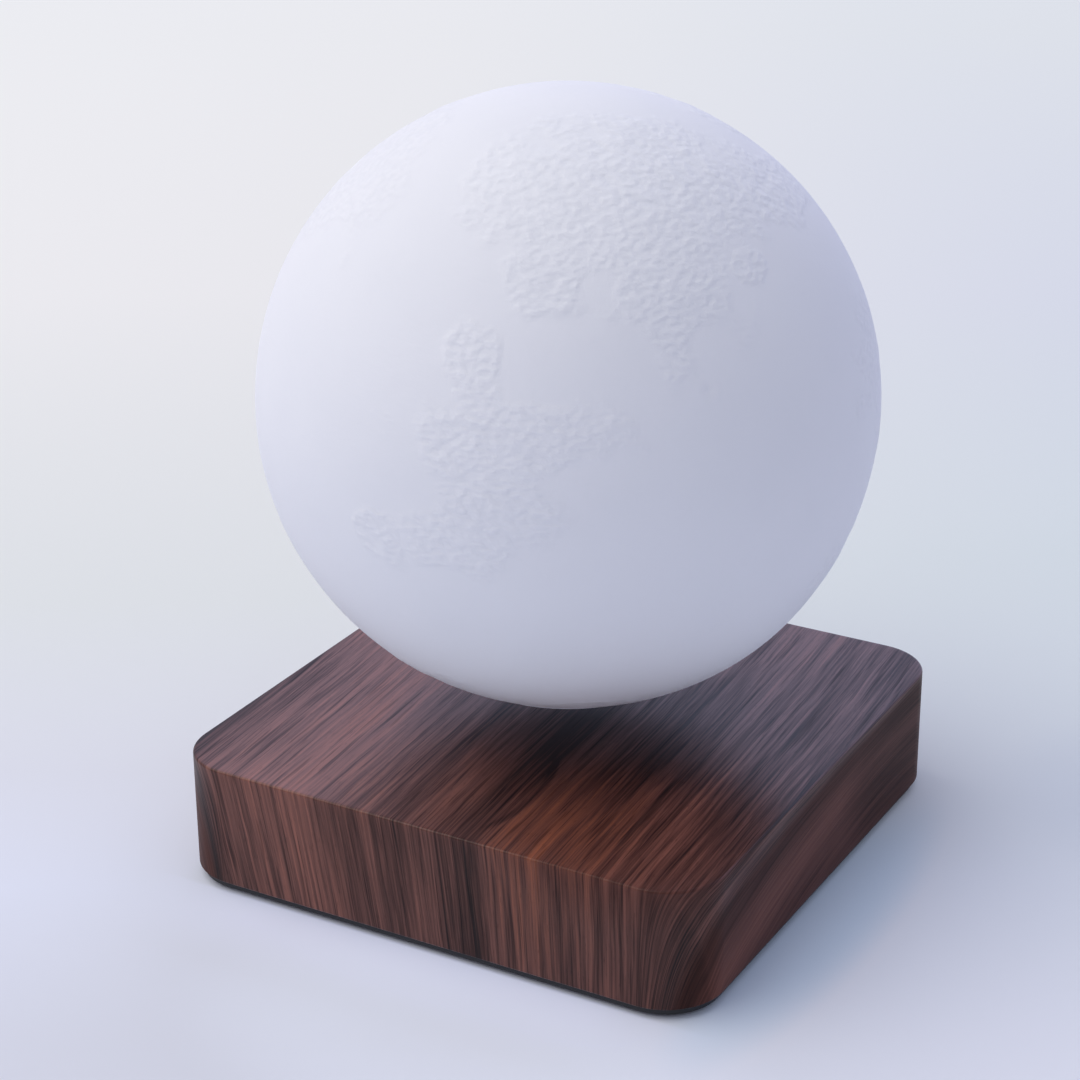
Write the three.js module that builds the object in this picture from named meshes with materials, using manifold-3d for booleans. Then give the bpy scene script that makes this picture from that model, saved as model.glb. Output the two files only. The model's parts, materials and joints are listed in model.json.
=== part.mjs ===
// Levitating globe lamp: a wood-look base full of magnets, and a moon-like globe that floats over it.
// Millimetres, +Z up. The table is z = 0, the lamp's axis is x = y = 0, and the front faces -Y.
import * as THREE from "three";
import { mergeVertices } from "three/addons/utils/BufferGeometryUtils.js";
import Module from "manifold-3d";

// Shared clearances
const seatGap = 0.1; // glue line or contact gap under a piece that rests on another
const slideGap = 0.3; // side clearance of a piece that drops into its recess
const holeGap = 0.25; // clearance all round a screw in a hole
const cutOverrun = 1; // how far a cutting shape passes the faces that it cuts
const weldDistance = 0.0005; // vertices closer than this become one

// Facets of round shapes
const globeFacets = 40;
const ringFacets = 36;
const smallFacets = 16;
const screwFacets = 12;
const cornerFacets = 10; // round each corner of a plate
const edgeFacets = 3;
const leadSides = 6;
const springSides = 5;

// Base casing, a moulded box with a wood-look skin, open below
const baseSide = 143; // across the flats, both ways
const baseCornerRadius = 15; // the four upright corners, in plan
const woodHeight = 30.9; // from the lower edge to the top face
const casingLift = 2.6; // from the table to the casing's lower edge
const casingWall = 3;
const casingRoof = 3;
const casingEdgeRadius = 1; // rounding of the top and the lower edge
const bossRadius = 4; // screw posts that hang from the roof
const bossInset = 8.5; // from the inside of the wall to a post's centre
const bossPitch = 80; // between the two posts along one wall
const bossRib = 2; // web that ties a post to its wall

// Bottom plate, its feet and the label recess
const plateThickness = 2.8;
const plateLift = 0.8; // from the table to the plate's underside
const flangeInset = 1.2; // from the casing's sides to those of the flange that covers its lower rim
const footRadius = 6;
const footInset = 12; // from the plate's edges to a foot's centre
const footRecess = 0.8;
const footChamfer = 0.5;
const labelLength = 60;
const labelWidth = 30;
const labelDepth = 0.4;
const labelCornerRadius = 2;

// Self-tapping screws, cross-headed
const casingScrew = { headRadius: 2.8, headHeight: 1.3, shankRadius: 1.25, length: 12 };
const boardScrew = { headRadius: 2.6, headHeight: 1.2, shankRadius: 1.1, length: 7.5 };
const ledScrew = { headRadius: 1.7, headHeight: 0.9, shankRadius: 0.8, length: 4 };
const screwTip = 1.2; // length of the pointed end
const crownShare = 0.33; // bevel round a head, of its height
const crossWidth = 0.7;
const crossInset = 0.7; // from the head's rim to the end of the cross
const crossDepth = 0.7;
const pilotRoom = 1.5; // empty hole past a screw's tip
const headSink = 0.1; // how far a casing screw's head lies below the plate's underside

// Control board and what stands on it
const standoffRadius = 3.5;
const standoffHeight = 4.6;
const boardThickness = 1.6;
const boardEndInset = 2.5; // from the cavity's front and back walls
const boardMargin = 7; // from the mounting holes to the long edges
const boardCornerRadius = 3;
const stripInset = 6; // from the board's ends to the row of parts that stands there
const capacitorRadius = 4;
const capacitorHeight = 12;
const capacitorEdge = 0.6;
const capacitorPitch = 48;
const inductorSize = 9;
const inductorHeight = 5;
const inductorX = 38;
const inductorChamfer = 1.5;
const driverSize = { width: 12, length: 6, height: 1.8, leads: 6 };
const driverX = -28;
const controllerSize = { width: 8, length: 8, height: 1.4, leads: 7 };
const controllerX = 26;
const leadWidth = 0.5;
const leadReach = 1;
const leadHeight = 0.8;
const hallPitch = 4.5; // from the centre to the two outer sensors
const hallBody = { width: 4, thickness: 1.6, height: 3 };
const hallLeg = 0.5;
const hallLegPitch = 1.27;
const hallDrop = 3; // from the core tops down to the sensor tops

// Lifting ring magnet and its tray
const magnetWallGap = 20.5; // from the cavity's wall to the ring's outside
const ringInnerRadius = 28;
const ringChamfer = 0.8;
const trayFloor = 2;
const trayWall = 1.6;
const trayRimDrop = 5.6; // from the ring's top down to the tray's outer rim
const trayInnerWall = 1.4;
const trayInnerRim = 4; // height of the inner rim above the floor
const trayGap = 0.4; // between the ring and the tray's rims
const earReach = 10.8; // from the tray's outside to an ear's hole
const earRadius = 5;
const magnetHeadroom = 2.3; // air between the ring and the power coil

// Four steering coils inside the ring
const coilCount = 4;
const coilMargin = 0.9; // between the bobbins and the tray's inner rim
const coilSpacing = 3; // between two bobbins
const coilTopDrop = 2; // from the ring's top down to the bobbins' tops
const bobbinFlange = 1;
const bobbinTube = 1;
const coreRadius = 3;
const coreGap = 0.2;
const coreHeadRadius = 5;
const coreHeadHeight = 1;
const windingInset = 0.4;
const windingGap = 0.25;

// Wireless power coil under the roof, its seat and its lead
const powerCoilOuterRadius = 28;
const powerCoilInnerRadius = 10;
const powerCoilThickness = 2.4;
const coilSeatWall = 1.5;
const coilSeatDepth = 2;
const leadRadius = 0.7;
const leadStartInset = 5; // from the power coil's rim inwards
const leadBend = 1.2;
const leadSteps = 24;

// Touch switch: a foil pad under the roof and the spring that feels it
const touchPadRadius = 7;
const touchPadThickness = 0.5;
const springRadius = 3.6;
const springWire = 0.4;
const springTurns = 6;
const springStepsPerTurn = 8;

// Power socket at the back
const jackWidth = 9;
const jackHeight = 11;
const jackDepth = 13;
const jackNoseRadius = 4;
const jackNoseSink = 0.3; // the nose stops this far inside the casing's back
const jackBoreRadius = 3.1;
const jackBoreDepth = 10;
const jackPinRadius = 1;
const jackPinInset = 1; // from the mouth of the bore to the pin's end
const jackPinBevelShare = 0.35; // of the pin's radius

// Globe, a printed shell with a neck round the opening in its underside
const globeDiameter = 150;
const globeWall = 1.6;
const floatGap = 13.3; // air between the base and the flat underside of the globe
const capRadius = 28; // flat underside
const neckWall = 2;
const outerArcSteps = 20;
const innerArcSteps = 12;

// Float cup that fills the opening, and the magnet and coil in it
const cupWall = 1.8;
const cupFloor = 1.6;
const cupChamfer = 0.6;
const lidShelf = 0.8; // step in the cup's wall that the lid rests on
const lidRecess = 2.5; // from the rim of the neck and the cup down to the lid's top
const floatMagnetHeight = 8;
const floatMagnetChamfer = 0.6;
const spinGap = 0.4; // running clearance all round the float magnet
const receiverCoilWidth = 6.4; // from the inside of its ring to the outside
const receiverCoilHeight = 4;
const receiverCoilGap = 0.5; // between the coil and the float magnet in it
const lidThickness = 2;
const lidHoleRadius = 1.4;
const lidPostRadius = 2.4;
const lidPostHeight = 3;
const receiverLeadRadius = 0.7;
const receiverLeadRun = 5;
const straightShare = 0.7; // of the lead's way up, before it bends
const firstBendShare = 0.4; // of its way in, taken by the bend from up to in

// Light source in the globe
const ledBoardInset = 6.6; // from the lid's rim to the board's rim
const ledBoardThickness = 1.6;
const ledCount = 6;
const ledSize = 5;
const ledHeight = 1.6;
const ledLensRadiusShare = 0.4; // of the LED's size
const ledLensHeight = 0.4;
const ledRingShare = 0.525; // of the board's radius
const ledScrewInset = 3.4;
const ledScrewCount = 2;
const storageCapacitorRadius = 3.2;
const storageCapacitorHeight = 7;

// Heights and radii that follow from the sizes above
const casingTop = casingLift + woodHeight;
const roofUnderside = casingTop - casingRoof;
const cavitySide = baseSide - 2 * casingWall;
const cavityHalf = cavitySide / 2;
const cavityCorner = baseCornerRadius - casingWall;
const plateSide = cavitySide - 2 * slideGap;
const flangeSide = baseSide - 2 * flangeInset;
const plateTop = plateLift + plateThickness;
const bossX = cavityHalf - bossInset;
const bossY = bossPitch / 2;
const bossBottom = plateTop + seatGap;
const screwSeat = plateLift + headSink + casingScrew.headHeight;
const footPlace = plateSide / 2 - footInset;
const boardBottom = plateTop + standoffHeight + seatGap;
const boardTop = boardBottom + boardThickness;
const trayBottom = boardTop + seatGap;
const trayTop = trayBottom + trayFloor;
const ringBottom = trayTop + seatGap;
const powerCoilBottom = roofUnderside - seatGap - powerCoilThickness;
const ringTop = powerCoilBottom - magnetHeadroom;
const ringOuterRadius = cavityHalf - magnetWallGap;
const trayOuterRadius = ringOuterRadius + trayGap + trayWall;
const trayInnerRadius = ringInnerRadius - trayGap - trayInnerWall;
const earPlace = (trayOuterRadius + earReach) * Math.SQRT1_2;
const boardWidth = 2 * (earPlace + boardMargin);
const boardLength = cavitySide - 2 * boardEndInset;
const stripY = boardLength / 2 - stripInset;
const coilSpace = trayInnerRadius - coilMargin;
const bobbinRadius = coilSpace / (1 + Math.SQRT2) - coilSpacing / 2;
const coilPlace = (coilSpace - bobbinRadius) * Math.SQRT1_2;
const bobbinBottom = boardTop + seatGap;
const bobbinTop = ringTop - coilTopDrop;
const coreTop = bobbinTop + seatGap + coreHeadHeight;
const jackCentre = boardTop + seatGap + jackHeight / 2;
const jackFront = cavityHalf - seatGap;
const jackMouth = baseSide / 2 - jackNoseSink;
const globeRadius = globeDiameter / 2;
const openingRadius = capRadius + slideGap;
const globeCentre = casingTop + floatGap + Math.sqrt(globeRadius ** 2 - capRadius ** 2);
const cupBottom = casingTop + floatGap - globeCentre; // from here on, heights are from the globe's centre
const cupInnerRadius = capRadius - cupWall;
const cupFloorTop = cupBottom + cupFloor;
const magnetBottom = cupFloorTop + spinGap;
const shelfHeight = magnetBottom + floatMagnetHeight + spinGap;
const lidRadius = cupInnerRadius + lidShelf - slideGap;
const lidBottom = shelfHeight + seatGap;
const lidTop = lidBottom + lidThickness;
const neckTop = lidTop + lidRecess;
const receiverCoilOuterRadius = cupInnerRadius - slideGap;
const receiverCoilInnerRadius = receiverCoilOuterRadius - receiverCoilWidth;
const floatMagnetRadius = receiverCoilInnerRadius - receiverCoilGap;
const receiverLeadPlace = (receiverCoilOuterRadius + receiverCoilInnerRadius) / 2;
const receiverCoilTop = cupFloorTop + seatGap + receiverCoilHeight;
const ledBoardBottom = lidTop + lidPostHeight + seatGap;
const ledBoardTop = ledBoardBottom + ledBoardThickness;
const ledBoardRadius = lidRadius - ledBoardInset;
const ledRingRadius = ledBoardRadius * ledRingShare;
const ledScrewPlace = ledBoardRadius - ledScrewInset;
const ledScrewTurn = Math.PI / ledCount; // the screws stand between two LEDs

// Surface finishes
const finish = (color, roughness, metalness = 0) =>
  new THREE.MeshStandardMaterial({ color, roughness, metalness });
const woodSkin = finish(0x573a34, 0.5);
const blackPlastic = finish(0x151517, 0.55);
const footRubber = finish(0x232325, 0.9);
const zincSteel = finish(0xa9abae, 0.35, 1);
const boardGreen = finish(0x1c5a37, 0.45);
const greyFerrite = finish(0x3a3b3d, 0.7);
const nickelPlate = finish(0xc6c3bb, 0.22, 1);
const aluminiumCan = finish(0xb8babf, 0.3, 1);
const copperWire = finish(0xb2693a, 0.35, 1);
const naturalNylon = finish(0xd9d4c4, 0.6);
const redSleeve = finish(0x9c2a24, 0.5);
const globeWhite = finish(0xeceaf0, 0.75);
const whitePlastic = finish(0xe8e7ea, 0.5);
const whiteBoard = finish(0xe6e6e0, 0.4);
const ledYellow = finish(0xe7d489, 0.3);

const wasm = await Module();
wasm.setup();

// A closed three.js geometry as a solid that can be joined and cut.
function solidFrom(geometry) {
  const bare = geometry.index ? geometry.toNonIndexed() : geometry.clone();
  bare.deleteAttribute("normal");
  bare.deleteAttribute("uv");
  const welded = mergeVertices(bare, weldDistance);
  const triVerts = new Uint32Array(welded.index.array);
  const vertProperties = welded.attributes.position.array;
  return new wasm.Manifold(new wasm.Mesh({ numProp: 3, vertProperties, triVerts }));
}

// The solid's surface as a three.js geometry again.
function geometryFrom(solid) {
  const mesh = solid.getMesh();
  const geometry = new THREE.BufferGeometry();
  geometry.setAttribute("position", new THREE.BufferAttribute(mesh.vertProperties, 3));
  geometry.setIndex(new THREE.BufferAttribute(mesh.triVerts, 1));
  geometry.computeVertexNormals();
  return geometry;
}

function join(first, ...others) {
  return geometryFrom(others.reduce((sum, each) => sum.add(solidFrom(each)), solidFrom(first)));
}

function cut(blank, ...tools) {
  return geometryFrom(tools.reduce((rest, each) => rest.subtract(solidFrom(each)), solidFrom(blank)));
}

// A profile of [radius, height] points turned about the Z axis, anticlockwise round the material.
function turned(profile, facets) {
  const points = profile.map(([radius, height]) => new THREE.Vector2(radius, height));
  return new THREE.LatheGeometry(points, facets).rotateX(Math.PI / 2);
}

function disc(radius, bottom, top, facets = smallFacets, x = 0, y = 0) {
  const profile = [[0, bottom], [radius, bottom], [radius, top], [0, top]];
  return turned(profile, facets).translate(x, y, 0);
}

function ring(outer, inner, bottom, top, facets = smallFacets) {
  return turned([[inner, bottom], [outer, bottom], [outer, top], [inner, top], [inner, bottom]], facets);
}

// A ring with its four edges bevelled.
function bevelledRing(outer, inner, bottom, top, bevel, facets) {
  const profile = [
    [inner + bevel, bottom],
    [outer - bevel, bottom],
    [outer, bottom + bevel],
    [outer, top - bevel],
    [outer - bevel, top],
    [inner + bevel, top],
    [inner, top - bevel],
    [inner, bottom + bevel],
    [inner + bevel, bottom],
  ];
  return turned(profile, facets);
}

// A disc with a bevel round its top, and round its bottom too unless that is left out.
function bevelledDisc(radius, bottom, top, topBevel, bottomBevel = 0, facets = smallFacets) {
  const bevelled = [[radius - bottomBevel, bottom], [radius, bottom + bottomBevel]];
  const foot = bottomBevel ? bevelled : [[radius, bottom]];
  const head = topBevel ? [[radius, top - topBevel], [radius - topBevel, top]] : [[radius, top]];
  return turned([[0, bottom], ...foot, ...head, [0, top]], facets);
}

function block(width, length, bottom, top, x = 0, y = 0) {
  return new THREE.BoxGeometry(width, length, top - bottom).translate(x, y, (top + bottom) / 2);
}

function roundedRectangle(width, length, radius) {
  const [right, back] = [width / 2, length / 2];
  const shape = new THREE.Shape();
  shape.absarc(right - radius, back - radius, radius, 0, Math.PI / 2);
  shape.absarc(radius - right, back - radius, radius, Math.PI / 2, Math.PI);
  shape.absarc(radius - right, radius - back, radius, Math.PI, 1.5 * Math.PI);
  shape.absarc(right - radius, radius - back, radius, 1.5 * Math.PI, 2 * Math.PI);
  return shape;
}

function slab(shape, bottom, top) {
  const options = { depth: top - bottom, bevelEnabled: false, curveSegments: cornerFacets / 2 };
  return new THREE.ExtrudeGeometry(shape, options).translate(0, 0, bottom);
}

// A slab whose upper and lower edges are rounded, full size between them.
function roundedSlab(shape, bottom, top, edge) {
  const options = {
    depth: top - bottom - 2 * edge,
    bevelThickness: edge,
    bevelSize: edge,
    bevelOffset: -edge,
    bevelSegments: edgeFacets,
    curveSegments: cornerFacets / 2,
  };
  return new THREE.ExtrudeGeometry(shape, options).translate(0, 0, bottom + edge);
}

// A round wire along a curve.
function wire(curve, radius, steps, sides) {
  const section = new THREE.Shape();
  section.absarc(0, 0, radius, 0, 2 * Math.PI);
  const options = { steps, extrudePath: curve, bevelEnabled: false, curveSegments: sides / 2 };
  return new THREE.ExtrudeGeometry(section, options);
}

// The four places of a rectangle's corners, anticlockwise from the front left.
function corners(x, y = x) {
  return [[-x, -y], [x, -y], [x, y], [-x, y]];
}

// Places evenly round a circle, from the angle start.
function around(count, radius, start = 0) {
  const angles = Array.from({ length: count }, (_, i) => start + (2 * Math.PI * i) / count);
  return angles.map((angle) => [radius * Math.cos(angle), radius * Math.sin(angle), angle]);
}

// Adds one named piece at a place, turned about Z if asked.
function place(group, name, geometry, material, [x, y, z] = [0, 0, 0], turn = 0) {
  const mesh = new THREE.Mesh(geometry, material);
  mesh.name = name;
  mesh.position.set(x, y, z);
  mesh.rotation.z = turn;
  group.add(mesh);
}

// A screw with its head's seat at z = 0, the head above it and the point below.
function screw({ headRadius, headHeight, shankRadius, length }) {
  const crown = headHeight * crownShare;
  const profile = [
    [0, -length],
    [shankRadius, screwTip - length],
    [shankRadius, 0],
    [headRadius, 0],
    [headRadius, headHeight - crown],
    [headRadius - crown, headHeight],
    [0, headHeight],
  ];
  const arm = 2 * (headRadius - crossInset);
  const recessBottom = headHeight - crossDepth;
  const recessTop = headHeight + cutOverrun;
  return cut(
    turned(profile, screwFacets),
    block(arm, crossWidth, recessBottom, recessTop),
    block(crossWidth, arm, recessBottom, recessTop),
  );
}

// The hole that a screw cuts its thread in, from its mouth at z = mouth away from the head.
function pilotHole(kind, mouth, depth, x, y) {
  return disc(kind.shankRadius + holeGap, mouth - depth, mouth + cutOverrun, screwFacets, x, y);
}

function makeCasing() {
  const skin = roundedSlab(
    roundedRectangle(baseSide, baseSide, baseCornerRadius),
    casingLift,
    casingTop,
    casingEdgeRadius,
  );
  const cavity = slab(
    roundedRectangle(cavitySide, cavitySide, cavityCorner),
    casingLift - cutOverrun,
    roofUnderside,
  );
  const inRoof = roofUnderside + casingRoof / 2;
  const inWall = cavityHalf + casingWall / 2;
  const posts = corners(bossX, bossY).flatMap(([x, y]) => {
    const side = Math.sign(x);
    const web = inWall - bossX;
    return [
      disc(bossRadius, bossBottom, inRoof, smallFacets, x, y),
      block(web, bossRib, bossBottom, inRoof, side * (bossX + web / 2), y),
    ];
  });
  const seatInner = powerCoilOuterRadius + slideGap;
  const seat = ring(seatInner + coilSeatWall, seatInner, roofUnderside - coilSeatDepth, inRoof, ringFacets);
  const shell = join(cut(skin, cavity), ...posts, seat);
  const pilotTop = screwSeat + casingScrew.length + pilotRoom;
  const pilots = corners(bossX, bossY).map(([x, y]) =>
    disc(casingScrew.shankRadius + holeGap, bossBottom - cutOverrun, pilotTop, screwFacets, x, y),
  );
  const socketHole = disc(jackNoseRadius + slideGap, 0, casingWall + 2 * cutOverrun)
    .rotateX(-Math.PI / 2)
    .translate(0, cavityHalf - cutOverrun, jackCentre);
  return cut(shell, ...pilots, socketHole);
}

function makeBottomPlate() {
  const plate = slab(
    roundedRectangle(plateSide, plateSide, cavityCorner - slideGap),
    plateLift,
    plateTop,
  );
  const flange = slab(
    roundedRectangle(flangeSide, flangeSide, baseCornerRadius - flangeInset),
    plateLift,
    casingLift - seatGap,
  );
  const standoffs = corners(earPlace).map(([x, y]) =>
    disc(standoffRadius, plateTop - plateThickness / 2, plateTop + standoffHeight, smallFacets, x, y),
  );
  const pilotDepth = boardScrew.length - trayFloor - boardThickness;
  const pilots = corners(earPlace).map(([x, y]) =>
    pilotHole(boardScrew, plateTop + standoffHeight, pilotDepth + holeGap, x, y),
  );
  const below = plateLift - cutOverrun;
  const screwHoles = corners(bossX, bossY).flatMap(([x, y]) => [
    disc(casingScrew.headRadius + holeGap, below, screwSeat, smallFacets, x, y),
    disc(casingScrew.shankRadius + holeGap, below, plateTop + cutOverrun, screwFacets, x, y),
  ]);
  const footSeats = corners(footPlace).map(([x, y]) =>
    disc(footRadius + slideGap, below, plateLift + footRecess, smallFacets, x, y),
  );
  const label = slab(
    roundedRectangle(labelLength, labelWidth, labelCornerRadius),
    below,
    plateLift + labelDepth,
  );
  return cut(join(plate, flange, ...standoffs), ...pilots, ...screwHoles, ...footSeats, label);
}

function makeBoard() {
  const blank = slab(roundedRectangle(boardWidth, boardLength, boardCornerRadius), boardBottom, boardTop);
  const holes = corners(earPlace).map(([x, y]) =>
    disc(boardScrew.shankRadius + holeGap, boardBottom - cutOverrun, boardTop + cutOverrun, screwFacets, x, y),
  );
  return cut(blank, ...holes);
}

function makeTray() {
  const rimRadius = trayOuterRadius - trayWall;
  const innerWallRadius = trayInnerRadius + trayInnerWall;
  const dish = turned(
    [
      [trayInnerRadius, trayBottom],
      [trayOuterRadius, trayBottom],
      [trayOuterRadius, ringTop - trayRimDrop],
      [rimRadius, ringTop - trayRimDrop],
      [rimRadius, trayTop],
      [innerWallRadius, trayTop],
      [innerWallRadius, trayTop + trayInnerRim],
      [trayInnerRadius, trayTop + trayInnerRim],
      [trayInnerRadius, trayBottom],
    ],
    ringFacets,
  );
  const armStart = trayOuterRadius - trayWall / 2;
  const armEnd = trayOuterRadius + earReach;
  const ears = around(coilCount, earPlace * Math.SQRT2, Math.PI / 4).flatMap(([x, y, angle]) => [
    disc(earRadius, trayBottom, trayTop, smallFacets, x, y),
    block(armEnd - armStart, 2 * earRadius, trayBottom, trayTop, (armStart + armEnd) / 2).rotateZ(angle),
  ]);
  const holes = corners(earPlace).map(([x, y]) =>
    disc(boardScrew.shankRadius + holeGap, trayBottom - cutOverrun, trayTop + cutOverrun, screwFacets, x, y),
  );
  return cut(join(dish, ...ears), ...holes);
}

function makeBobbin() {
  const tubeInner = coreRadius + coreGap;
  const tubeOuter = tubeInner + bobbinTube;
  return turned(
    [
      [tubeInner, bobbinBottom],
      [bobbinRadius, bobbinBottom],
      [bobbinRadius, bobbinBottom + bobbinFlange],
      [tubeOuter, bobbinBottom + bobbinFlange],
      [tubeOuter, bobbinTop - bobbinFlange],
      [bobbinRadius, bobbinTop - bobbinFlange],
      [bobbinRadius, bobbinTop],
      [tubeInner, bobbinTop],
      [tubeInner, bobbinBottom],
    ],
    smallFacets,
  );
}

function makeWinding() {
  const inner = coreRadius + coreGap + bobbinTube + windingGap;
  const bottom = bobbinBottom + bobbinFlange + seatGap;
  return ring(bobbinRadius - windingInset, inner, bottom, bobbinTop - bobbinFlange - seatGap);
}

function makeCore() {
  const seat = bobbinTop + seatGap;
  const profile = [
    [0, bobbinBottom],
    [coreRadius, bobbinBottom],
    [coreRadius, seat],
    [coreHeadRadius, seat],
    [coreHeadRadius, coreTop],
    [0, coreTop],
  ];
  return turned(profile, smallFacets);
}

// The three legs of a Hall sensor, up to a height, in a row at y.
function hallLegs(top, y) {
  return [-hallLegPitch, 0, hallLegPitch].map((x) => block(hallLeg, hallLeg, boardTop + seatGap, top, x, y));
}

function makeUprightHallSensor() {
  const { width, thickness, height } = hallBody;
  const top = coreTop - hallDrop;
  const bottom = top - height;
  return join(block(width, thickness, bottom, top), ...hallLegs(bottom + hallLeg, 0));
}

function makeFlatHallSensor() {
  const { width, thickness, height } = hallBody;
  const top = coreTop - hallDrop;
  const body = block(width, height, top - thickness, top);
  return join(body, ...hallLegs(top - thickness / 2, height / 2 - hallLeg));
}

// A flat chip with a row of leads along its front and its back.
function makeChip({ width, length, height, leads }) {
  const bottom = boardTop + seatGap;
  const body = block(width, length, bottom, bottom + height);
  const pitch = width / leads;
  const rows = Array.from({ length: leads }, (_, i) =>
    block(leadWidth, length + 2 * leadReach, bottom, bottom + leadHeight, pitch * (i + 0.5) - width / 2),
  );
  return join(body, ...rows);
}

function makeInductor() {
  const bottom = boardTop + seatGap;
  const plan = roundedRectangle(inductorSize, inductorSize, inductorChamfer);
  return slab(plan, bottom, bottom + inductorHeight);
}

function makePowerCoilLead() {
  const top = powerCoilBottom - seatGap;
  const run = top - leadBend;
  const start = powerCoilOuterRadius - leadStartInset;
  const end = (trayOuterRadius + jackFront - jackDepth) / 2;
  const path = new THREE.CurvePath();
  const bendIn = new THREE.Vector3(0, start, run);
  const bendDown = new THREE.Vector3(0, end, run);
  const afterIn = new THREE.Vector3(0, start + leadBend, run);
  const beforeDown = new THREE.Vector3(0, end - leadBend, run);
  const afterDown = new THREE.Vector3(0, end, run - leadBend);
  path.add(new THREE.QuadraticBezierCurve3(new THREE.Vector3(0, start, top), bendIn, afterIn));
  path.add(new THREE.LineCurve3(afterIn, beforeDown));
  path.add(new THREE.QuadraticBezierCurve3(beforeDown, bendDown, afterDown));
  path.add(new THREE.LineCurve3(afterDown, new THREE.Vector3(0, end, boardTop + seatGap)));
  return wire(path, leadRadius, leadSteps, leadSides);
}

// The centre line of an open spring of even pitch.
class SpringLine extends THREE.Curve {
  constructor(radius, bottom, top, turns) {
    super();
    Object.assign(this, { radius, bottom, top, turns });
  }
  getPoint(t, target = new THREE.Vector3()) {
    const angle = 2 * Math.PI * this.turns * t;
    const height = THREE.MathUtils.lerp(this.bottom, this.top, t);
    return target.set(this.radius * Math.cos(angle), this.radius * Math.sin(angle), height);
  }
}

function makeTouchSpring() {
  const bottom = boardTop + seatGap + springWire;
  const top = roofUnderside - seatGap - touchPadThickness - seatGap - springWire;
  const line = new SpringLine(springRadius, bottom, top, springTurns);
  return wire(line, springWire, springTurns * springStepsPerTurn, springSides);
}

function makeJack() {
  const noseLength = jackMouth - jackFront;
  const body = block(jackWidth, jackDepth, jackCentre - jackHeight / 2, jackCentre + jackHeight / 2);
  body.translate(0, jackFront - jackDepth / 2, 0);
  const nose = disc(jackNoseRadius, 0, noseLength + casingWall)
    .rotateX(-Math.PI / 2)
    .translate(0, jackFront - casingWall, jackCentre);
  const bore = disc(jackBoreRadius, 0, jackBoreDepth + cutOverrun)
    .rotateX(-Math.PI / 2)
    .translate(0, jackMouth - jackBoreDepth, jackCentre);
  return cut(join(body, nose), bore);
}

function makeJackPin() {
  const length = jackBoreDepth - seatGap - jackPinInset;
  return bevelledDisc(jackPinRadius, 0, length, jackPinRadius * jackPinBevelShare)
    .rotateX(-Math.PI / 2)
    .translate(0, jackMouth - jackBoreDepth + seatGap, jackCentre);
}

// Points of a circular arc in the profile plane, from one height to another, on the right of the axis.
function arc(radius, from, to, steps) {
  const [a, b] = [Math.asin(from / radius), Math.asin(to / radius)];
  return Array.from({ length: steps + 1 }, (_, i) => {
    const angle = a + ((b - a) * i) / steps;
    return [radius * Math.cos(angle), radius * Math.sin(angle)];
  });
}

function makeGlobeShell() {
  const innerRadius = globeRadius - globeWall;
  const neckOuter = openingRadius + neckWall;
  const outerStart = -Math.sqrt(globeRadius ** 2 - openingRadius ** 2);
  const innerEnd = -Math.sqrt(innerRadius ** 2 - neckOuter ** 2);
  const inside = arc(innerRadius, innerRadius, innerEnd, innerArcSteps);
  const outside = arc(globeRadius, outerStart, globeRadius, outerArcSteps);
  inside[0][0] = 0;
  outside[outerArcSteps][0] = 0;
  return turned([...inside, [neckOuter, neckTop], [openingRadius, neckTop], ...outside], globeFacets);
}

function makeCup() {
  const shelfRadius = cupInnerRadius + lidShelf;
  return turned(
    [
      [0, cupBottom],
      [capRadius - cupChamfer, cupBottom],
      [capRadius, cupBottom + cupChamfer],
      [capRadius, neckTop],
      [shelfRadius, neckTop],
      [shelfRadius, shelfHeight],
      [cupInnerRadius, shelfHeight],
      [cupInnerRadius, cupFloorTop],
      [0, cupFloorTop],
    ],
    globeFacets,
  );
}

function makeLid() {
  const posts = around(ledScrewCount, ledScrewPlace, ledScrewTurn).map(([x, y]) =>
    disc(lidPostRadius, lidTop - lidThickness / 2, lidTop + lidPostHeight, smallFacets, x, y),
  );
  const pilots = around(ledScrewCount, ledScrewPlace, ledScrewTurn).map(([x, y]) =>
    pilotHole(ledScrew, lidTop + lidPostHeight, ledScrew.length, x, y),
  );
  const plate = disc(lidRadius, lidBottom, lidTop, ringFacets);
  const leadHole = disc(
    lidHoleRadius, lidBottom - cutOverrun, lidTop + cutOverrun, smallFacets, 0, receiverLeadPlace,
  );
  return cut(join(plate, ...posts), ...pilots, leadHole);
}

function makeReceiverLead() {
  const start = new THREE.Vector3(0, receiverLeadPlace, receiverCoilTop + seatGap);
  const bend = new THREE.Vector3(0, receiverLeadPlace, ledBoardBottom - 2 * receiverLeadRadius);
  const turnIn = new THREE.Vector3(0, receiverLeadPlace - receiverLeadRun, bend.z);
  const end = new THREE.Vector3(0, turnIn.y, ledBoardBottom - seatGap);
  const path = new THREE.CurvePath();
  const beforeBend = new THREE.Vector3().lerpVectors(start, bend, straightShare);
  const afterBend = new THREE.Vector3().lerpVectors(bend, turnIn, firstBendShare);
  path.add(new THREE.LineCurve3(start, beforeBend));
  path.add(new THREE.QuadraticBezierCurve3(beforeBend, bend, afterBend));
  path.add(new THREE.QuadraticBezierCurve3(afterBend, turnIn, end));
  return wire(path, receiverLeadRadius, leadSteps, leadSides);
}

function makeLedBoard() {
  const holes = around(ledScrewCount, ledScrewPlace, ledScrewTurn).map(([x, y]) =>
    disc(
      ledScrew.shankRadius + holeGap, ledBoardBottom - cutOverrun, ledBoardTop + cutOverrun, screwFacets, x, y,
    ),
  );
  return cut(disc(ledBoardRadius, ledBoardBottom, ledBoardTop, ringFacets), ...holes);
}

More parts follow.
